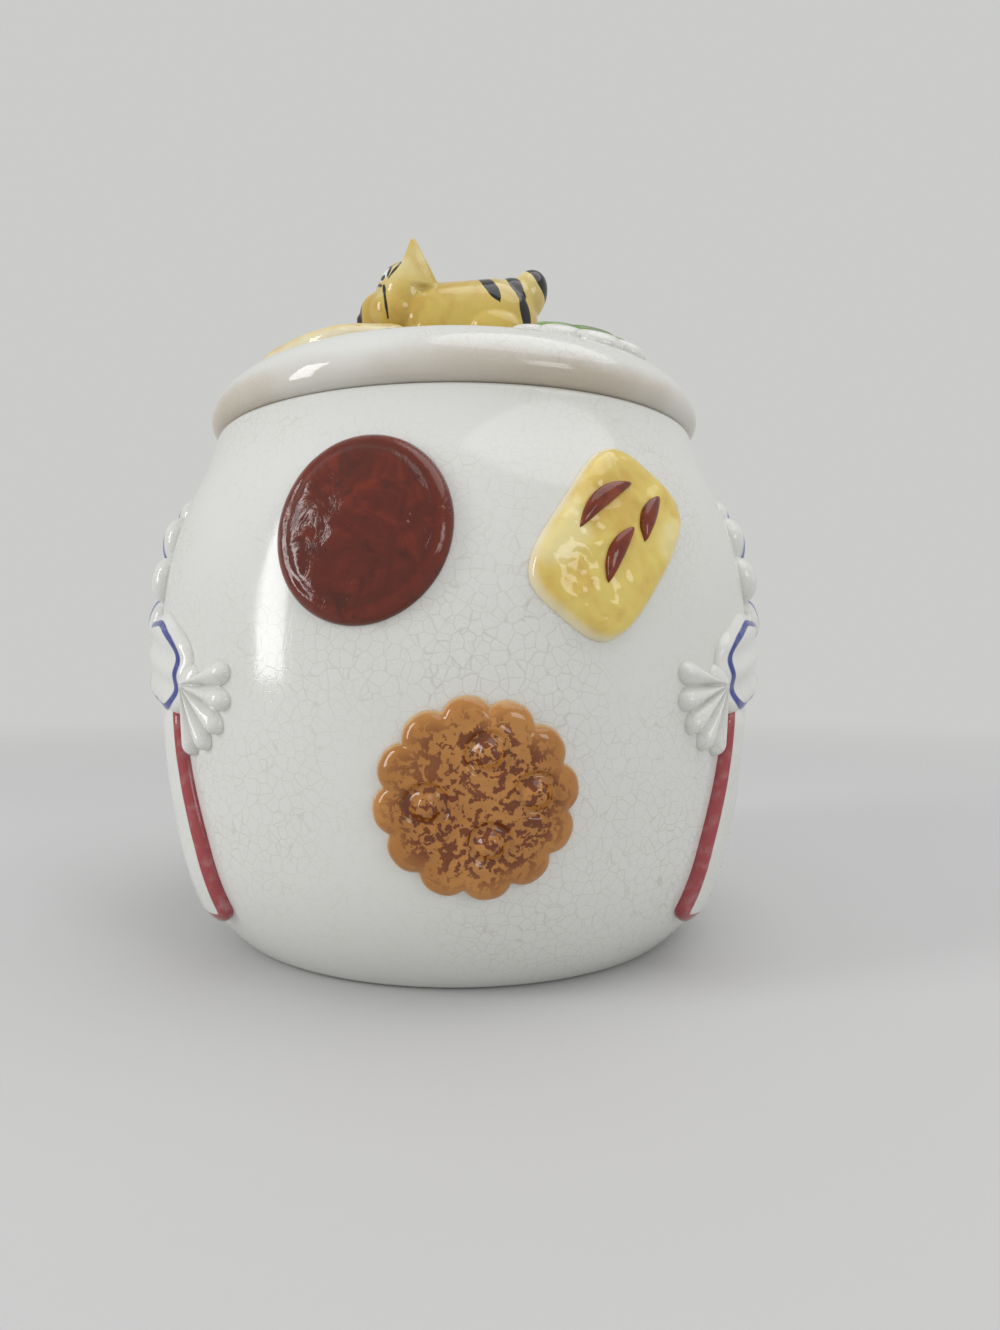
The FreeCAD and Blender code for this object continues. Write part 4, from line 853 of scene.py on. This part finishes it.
def bow_outline(angle):
    """Plump loop: a superellipse, wider at the rosette's end than at the knot's, with a soft wave."""
    turned = angle - BOW_TILT
    width = BOW_HALF_WIDTH * (0.90 + 0.14 * np.cos(turned))
    wave = 1 + 0.07 * np.sin(3 * angle + 1.2) + 0.04 * np.sin(5 * angle)
    return superellipse(turned, BOW_HALF_LENGTH, width, 2.6) * wave


def from_fan_middle(angle):
    """Angle from the line in the middle of the fan, which points away from the rosette and down."""
    return (angle - FAN_TILT) % (2 * np.pi) - np.pi


def fan_pleats(angle):
    """Pleats: 1 along the middle of each and 0 between two."""
    away = np.clip(from_fan_middle(angle), -FAN_HALF_SPREAD, FAN_HALF_SPREAD)
    return np.abs(np.sin(np.pi * (away + FAN_HALF_SPREAD) * FAN_PLEATS / (2 * FAN_HALF_SPREAD)))


def fan_outline(angle):
    """Fan: scalloped far edge over the spread, and a small round hub on the other side."""
    inside = np.abs(from_fan_middle(angle)) < FAN_HALF_SPREAD
    return np.where(inside, FAN_RADIUS * (0.74 + 0.26 * fan_pleats(angle) ** 0.5), FAN_HUB)


def tail_path():
    """Ribbon tail: a gently waving way down, and the half width along it, rounded off at both ends."""
    share = np.linspace(0, 1, 60)
    path = np.stack([7.5 - 7.0 * share + 1.0 * np.sin(2 * np.pi * share), 31.5 - 62.5 * share], axis=1)
    return path, (6.4 + 2.0 * share) * np.clip(np.minimum(share * 14, (1 - share) * 14), 0.02, 1) ** 0.5


class BISCUITJAR_OT_ribbons(bpy.types.Operator):
    """Add the rosettes, bow loops, pleated ends and ribbon tails on both sides"""
    bl_idname = "biscuitjar.ribbons"
    bl_label = "Ribbons"

    def execute(self, context):
        settings = settings_of(context)
        depth = settings.relief_depth / MM
        for side, sign in (("right", 1), ("left", -1)):
            self.add_rosette(settings, side, sign, depth)
            for end in ("front", "back"):
                self.add_ribbon(settings, side + "_" + end, sign, end == "front", depth)
        return {"FINISHED"}

    def add_rosette(self, settings, side, sign, depth):
        place = wall_place(90.0 * sign, ROSETTE_HEIGHT)
        edge = edge_rise(depth + 0.6, 4.5)

        def rise(u, v, inset):
            ruffle = 0.30 + 0.70 * np.abs(np.cos(ROSETTE_LOBES / 2 * np.arctan2(v, u))) ** 0.6
            petals = 1 - (1 - ruffle) * np.clip(np.hypot(u, v) / 12, 0, 1)
            return edge(u, v, inset) * petals + 0.5 * np.clip(inset / 6, 0, 1)

        piece = relief("rosette_glaze_" + side, lobed(ROSETTE_RADIUS, ROSETTE_LOBES, 0.15), place, rise,
                       "jar", ["rosette_" + side], rings=40, columns=240)
        dress(piece, "rosette_glaze", edged_glaze, settings, ROSETTE_BLUE, 0.78, 0.84)
        button = relief("rosette_button_glaze_" + side, lambda angle: BUTTON_RADIUS + 0 * angle, place,
                        edge_rise(2.0, 4.5), "jar", ["rosette_button_" + side],
                        base=depth + 0.5, rings=16, columns=72)
        dress(button, "button_blue", plain_glaze, BUTTON_BLUE, BUTTON_PALE_BLUE, 140.0)

    def add_ribbon(self, settings, key, sign, front, depth):
        def place_at(azimuth, height):
            """The front's place, or its mirror image behind; +u points to the rosette."""
            place = wall_place(sign * (azimuth if front else 180 - azimuth), height)
            mirror = sign if front else -sign
            return lambda u, v, rise: place(u * mirror, v, rise)

        bow_edge = edge_rise(depth - 0.8, 4.5)
        fan_edge = edge_rise(depth - 0.6, 3.5)

        def loop_rise(u, v, inset):
            folds = 0.5 + 0.5 * np.cos((v - 0.18 * u) * 2 * np.pi / 9.0)
            return bow_edge(u, v, inset) * (0.72 + 0.28 * folds) + 0.4 * np.clip(inset / 8, 0, 1)

        def fan_rise(u, v, inset):
            near_hub = np.clip(1 - np.hypot(u, v) / 8, 0, 1)
            pleats = np.maximum(fan_pleats(np.arctan2(v, u)), near_hub)
            return fan_edge(u, v, inset) * (0.12 + 0.88 * pleats ** 0.8)

        piece = relief("bow_loop_glaze_" + key, bow_outline, place_at(*BOW_PLACE), loop_rise, "jar",
                       ["bow_loop_" + key], rings=36, columns=240)
        dress(piece, "bow_glaze", edged_glaze, settings, BOW_BLUE, 0.74, 0.83, 0.03)
        piece = relief("pleated_end_glaze_" + key, fan_outline, place_at(*FAN_PLACE), fan_rise, "jar",
                       ["pleated_end_" + key], rings=30, columns=320)
        dress(piece, "pleat_glaze", white_glaze, settings, 1.03)
        piece = strip("ribbon_tail_glaze_" + key, *tail_path(), place_at(*TAIL_PLACE), depth - 0.2, "jar",
                      "ribbon_glaze", ["ribbon_tail_" + key], sections=48, border=0.10)
        dress(piece, "tail_glaze", edged_glaze, settings, TAIL_RED, 0.66, 1.2)


# The lid's biscuits lie this far to either side of the front and this far from the axis.
LID_BISCUIT_TURN, LID_BISCUIT_DISTANCE = 47.0, 51.0


class BISCUITJAR_OT_lid_biscuits(bpy.types.Operator):
    """Add the oblong and iced biscuits on the lid"""
    bl_idname = "biscuitjar.lid_biscuits"
    bl_label = "Lid biscuits"

    def execute(self, context):
        settings = settings_of(context)
        depth = settings.relief_depth / MM
        for side, turn in SIDES:
            place = lid_place(turn - LID_BISCUIT_TURN, LID_BISCUIT_DISTANCE)
            piece = relief("lid_biscuit_glaze_" + side, oblong(46.6, 36.6, 0.0, 3.6), place,
                           lumpy_rise(depth - 0.8, 4.5, 0.3, 5, (0.22, 12.0, 8)), "lid",
                           ["lid_biscuit_" + side])
            dress(piece, "lid_biscuit_glaze", butter_glaze, settings, (0.58, 0.34, 0.05))
            add_slivers("lid_sliver_" + side, "lid_slivers_" + side, LID_SLIVERS, place, "lid", depth)
            place = lid_place(turn + LID_BISCUIT_TURN, LID_BISCUIT_DISTANCE)
            piece = relief("iced_base_glaze_" + side, lobed(23.0, 9, 0.15), place,
                           lumpy_rise(depth - 0.9, 4.0, 0.5, 5), "lid",
                           ["iced_base_" + side])
            dress(piece, "base_glaze", white_glaze, settings, 1.02)
            piece = relief("icing_glaze_" + side, lobed(16.8, 6, 0.14), place, edge_rise(1.7, 4.5), "lid",
                           ["icing_" + side], base=depth - 0.6)
            dress(piece, "icing_glaze", plain_glaze, (0.26, 0.40, 0.12), (0.10, 0.17, 0.06), 70.0)
        return {"FINISHED"}


# The kitten's rounded parts: centre, half sizes, and turn about the side-to-side axis in degrees.
KITTEN_PARTS = [
    ((-17.2, 0.0, 215.0), (10.6, 13.6, 13.4), 0.0),
    ((-11.0, 0.0, 208.5), (9.0, 13.4, 12.0), 0.0),
    ((-25.8, 0.0, 210.6), (7.4, 8.6, 7.6), 0.0),
    ((-32.9, 0.0, 208.6), (1.5, 2.6, 2.2), 0.0),
    ((20.0, 0.0, 213.4), (9.2, 11.0, 9.4), 0.0),
    ((25.4, 0.0, 216.6), (7.0, 7.8, 10.0), 25.0),
]
KITTEN_PAIRS = [
    ((-20.5, 7.0, 209.5), (8.4, 6.6, 6.6), 0.0),
    ((14.6, 13.4, 200.4), (9.4, 4.6, 6.6), 14.0),
    ((6.5, 15.0, 194.4), (8.0, 4.4, 4.2), 0.0),
    ((-22.5, 7.0, 194.4), (8.4, 4.8, 4.4), 0.0),
]
LOAF_ENDS = ((-4.2, 14.8), (13.6, 16.0))
LOAF_HEIGHT = 206.2
# An ear's heights, its spread from the middle, half length and half width at each.
EAR_LEVELS = [(215.5, 7.0, 9.6, 6.8), (220.0, 7.6, 8.0, 5.6), (232.6, 9.9, 1.1, 1.0), (233.4, 10.0, 0.3, 0.3)]
EAR_X, EAR_DENT = -14.2, 0.75
KITTEN_VOXEL, KITTEN_SMOOTHING = 0.0005, 9


def ellipsoid(centre, half, turn):
    """Rings of an ellipsoid: half sizes times the unit sphere, turned about y and moved to its centre."""
    polar_angle = np.linspace(0, np.pi, 30)[:, None]
    around = np.linspace(0, 2 * np.pi, 48, endpoint=False)[None, :]
    x = half[0] * np.cos(polar_angle) * np.ones_like(around)
    y = half[1] * np.sin(polar_angle) * np.cos(around)
    z = half[2] * np.sin(polar_angle) * np.sin(around)
    a = math.radians(turn)
    return np.stack([centre[0] + x * math.cos(a) + z * math.sin(a), centre[1] + y,
                     centre[2] - x * math.sin(a) + z * math.cos(a)], axis=2)


def loaf_rings():
    """Body: a half ball at the chest and a wider one at the rump, joined by a cone, round a level line."""
    around = np.linspace(0, 2 * np.pi, 64, endpoint=False)[None, :]
    rings = []
    for (centre, radius), first, last in ((LOAF_ENDS[0], 0, np.pi / 2), (LOAF_ENDS[1], np.pi / 2, np.pi)):
        step = np.linspace(first, last, 20)[:, None]
        reach = radius * np.sin(step)
        rings.append(np.stack([centre - radius * np.cos(step) + 0 * around, reach * np.cos(around),
                               LOAF_HEIGHT + reach * np.sin(around)], axis=2))
    return np.concatenate(rings)


def ear_rings(sign):
    """Ear: ellipses between the levels, smaller towards the tip, dented in front where the ear is hollow."""
    around = np.linspace(0, 2 * np.pi, 48, endpoint=False)[None, :]
    height, spread, half_length, half_width = np.array(EAR_LEVELS).T
    rise = np.linspace(height[0], height[-1], 26)[:, None]
    length = np.interp(rise, height, half_length)
    width = np.interp(rise, height, half_width)
    front = np.clip(-np.cos(around), 0, 1) ** 7
    x = EAR_X + length * np.cos(around) * (1 - EAR_DENT * front)
    y = sign * (np.interp(rise, height, spread) + width * np.sin(around))
    return np.stack([x, y, rise + 0 * around], axis=2)


class BISCUITJAR_OT_kitten(bpy.types.Operator):
    """Add the lying kitten as one blended form"""
    bl_idname = "biscuitjar.kitten"
    bl_label = "Kitten"

    def execute(self, context):
        rings = [loaf_rings()] + [ellipsoid(*part) for part in KITTEN_PARTS]
        for sign in (-1, 1):
            rings += [ellipsoid((centre[0], sign * centre[1], centre[2]), half, turn)
                      for centre, half, turn in KITTEN_PAIRS]
            rings.append(ear_rings(sign))
        nodes = [name for name in frame["nodes"] if name.startswith("kitten")]
        skin = joined([capped_rings(ring) for ring in rings])
        kitten = new_piece("kitten_form", skin, "lid", nodes)
        blend_parts(kitten, KITTEN_VOXEL, KITTEN_SMOOTHING)
        dress(kitten, "kitten_yellow", kitten_glaze, settings_of(context))
        return {"FINISHED"}


def blend_parts(piece, voxel, smoothing):
    """Join overlapping parts into one skin and soften their creases."""
    remesh = piece.modifiers.new("join", "REMESH")
    remesh.mode = "VOXEL"
    remesh.voxel_size = voxel
    remesh.use_smooth_shade = True
    smooth = piece.modifiers.new("soften", "SMOOTH")
    smooth.factor = 0.5
    smooth.iterations = smoothing
    graph = bpy.context.evaluated_depsgraph_get()
    mesh = bpy.data.meshes.new_from_object(piece.evaluated_get(graph))
    piece.modifiers.clear()
    piece.data = mesh
    mesh.polygons.foreach_set("use_smooth", np.ones(len(mesh.polygons), bool))


class BISCUITJAR_OT_stage(bpy.types.Operator):
    """Add the floor, the studio lights, the world and the camera"""
    bl_idname = "biscuitjar.stage"
    bl_label = "Stage"

    def execute(self, context):
        add_floor()
        add_lights()
        add_world(context)
        add_camera(context)
        context.scene.view_settings.view_transform = "Standard"
        return {"FINISHED"}


FLOOR_HALF_SIZE, FLOOR_GREY, FLOOR_FADE = 6.0, (0.60, 0.60, 0.60), (0.30, 1.10)
BACKDROP, WORLD_LIGHT = (0.60, 0.60, 0.59), 0.62

# Lamps: name, shape, place, size, power in watts and the point they face.
LAMPS = [
    ("window_left", "RECTANGLE", (-1.15, -0.50, 0.50), (0.28, 0.95), 6.0, (0, 0, 0.12)),
    ("overhead", "ELLIPSE", (0.45, -0.15, 1.35), (1.3, 1.3), 5.5, (0, 0, 0.1)),
    ("window_right", "RECTANGLE", (0.85, -1.00, 0.55), (0.45, 0.45), 2.2, (0, 0, 0.1)),
]

CAMERA_DISTANCE, CAMERA_HEIGHT, CAMERA_PITCH = 0.3076, 0.0901, 0.0095
FOCAL_PIXELS, PICTURE_HEIGHT, AXIS_OFFSET_PIXELS = 868.0, 1330, 46.0
SENSOR = 36.0


def fill_floor(floor):
    """Pale matt floor that fades away into the pale background far from the jar."""
    floor.shader.inputs["Base Color"].default_value = (*FLOOR_GREY, 1)
    away = floor.node("ShaderNodeVectorMath", {"operation": "LENGTH"}, [floor.place], "Value")
    surface = Value(floor, floor.shader.outputs[0])
    clear = floor.node("ShaderNodeBsdfTransparent")
    shown = floor.node("ShaderNodeMixShader", None, [away.band(*FLOOR_FADE), surface, clear])
    floor.tree.links.new(shown.socket, floor.tree.nodes["Material Output"].inputs["Surface"])


def add_floor():
    """Pale floor under the jar."""
    size = FLOOR_HALF_SIZE
    mesh = bpy.data.meshes.new("floor")
    corners = [(-size, -size, 0), (size, -size, 0), (size, size, 0), (-size, size, 0)]
    mesh.from_pydata(corners, [], [(0, 1, 2, 3)])
    floor = bpy.data.objects.new("floor", mesh)
    bpy.context.scene.collection.objects.link(floor)
    material = Glaze("pale_floor", roughness=0.9)
    fill_floor(material)
    mesh.materials.append(material.material)


def add_lights():
    """Soft lamps: a tall window at the left front, a wide one above, and a low one at the right."""
    for name, shape, spot, (width, height), power, target in LAMPS:
        lamp = bpy.data.lights.new(name, "AREA")
        lamp.shape = shape
        lamp.size, lamp.size_y, lamp.energy = width, height, power
        holder = bpy.data.objects.new(name, lamp)
        holder.location = spot
        aim = Vector(target) - Vector(spot)
        holder.rotation_euler = aim.to_track_quat("-Z", "Y").to_euler()
        bpy.context.scene.collection.objects.link(holder)


def add_world(context):
    """Even pale light for the object; camera and mirror rays see the pale backdrop."""
    world = bpy.data.worlds.new("studio")
    context.scene.world = world
    world.use_nodes = True
    recipe = Recipe(world.node_tree)
    recipe.tree.nodes.clear()
    light = recipe.node("ShaderNodeBackground", None, {"Color": (1, 1, 1, 1), "Strength": WORLD_LIGHT})
    backdrop = recipe.node("ShaderNodeBackground", None, {"Color": (*BACKDROP, 1), "Strength": 1.0})
    seen = recipe.node("ShaderNodeLightPath", output="Is Camera Ray")
    rays = seen.socket.node.outputs
    for ray in ("Is Glossy Ray", "Is Transmission Ray"):
        seen = seen.maths("MAXIMUM", Value(recipe, rays[ray]))
    shown = recipe.node("ShaderNodeMixShader", None, [seen, light, backdrop])
    recipe.node("ShaderNodeOutputWorld", None, {"Surface": shown})


def add_camera(context):
    """Camera at the photograph's distance and height, shifted so that the jar sits left of the middle."""
    data = bpy.data.cameras.new("camera")
    data.sensor_width = SENSOR
    data.lens = FOCAL_PIXELS / PICTURE_HEIGHT * SENSOR
    data.shift_x = AXIS_OFFSET_PIXELS / PICTURE_HEIGHT
    data.dof.use_dof = False
    data.clip_start = 0.01
    camera = bpy.data.objects.new("camera", data)
    camera.location = (0, -CAMERA_DISTANCE, CAMERA_HEIGHT)
    camera.rotation_euler = Euler((math.pi / 2 - CAMERA_PITCH, 0, 0))
    context.scene.collection.objects.link(camera)
    context.scene.camera = camera


OPERATORS = [BISCUITJAR_OT_stage, BISCUITJAR_OT_jar, BISCUITJAR_OT_lid, BISCUITJAR_OT_wall_biscuits,
             BISCUITJAR_OT_ribbons, BISCUITJAR_OT_lid_biscuits, BISCUITJAR_OT_kitten]


class BISCUITJAR_PT_panel(bpy.types.Panel):
    """Lists the jar's settings and pieces"""
    bl_label = "Biscuit Jar"
    bl_idname = "BISCUITJAR_PT_panel"
    bl_space_type = "VIEW_3D"
    bl_region_type = "UI"
    bl_category = "Biscuit Jar"

    def draw(self, context):
        settings = settings_of(context)
        for name in JarSettings.__annotations__:
            self.layout.prop(settings, name)
        for operator in OPERATORS:
            self.layout.operator(operator.bl_idname)


CLASSES = [JarSettings, *OPERATORS, BISCUITJAR_PT_panel]


def register():
    for cls in CLASSES:
        bpy.utils.register_class(cls)
    bpy.types.Scene.biscuit_jar = bpy.props.PointerProperty(type=JarSettings)


def unregister():
    del bpy.types.Scene.biscuit_jar
    for cls in reversed(CLASSES):
        bpy.utils.unregister_class(cls)


def dress_bare_nodes():
    """Give every CAD node that still shows a glaze of its own record colour."""
    slots = {entry["slot"]: entry["base_color"] for entry in frame["record"]["materials"]}
    slot_of = {entry["node"]: entry["material_slot"] for entry in frame["record"]["subparts"]}
    for name, node in frame["nodes"].items():
        if not node.hide_render:
            colour = slots[slot_of[name]][:3]
            dress(node, slot_of[name] + "_node", plain_glaze, colour, scaled(colour, 0.7))


def main():
    """Register the add-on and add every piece."""
    register()
    for operator in OPERATORS:
        group, action = operator.bl_idname.split(".")
        getattr(getattr(bpy.ops, group), action)()
    dress_bare_nodes()


if __name__ == "__main__":
    main()
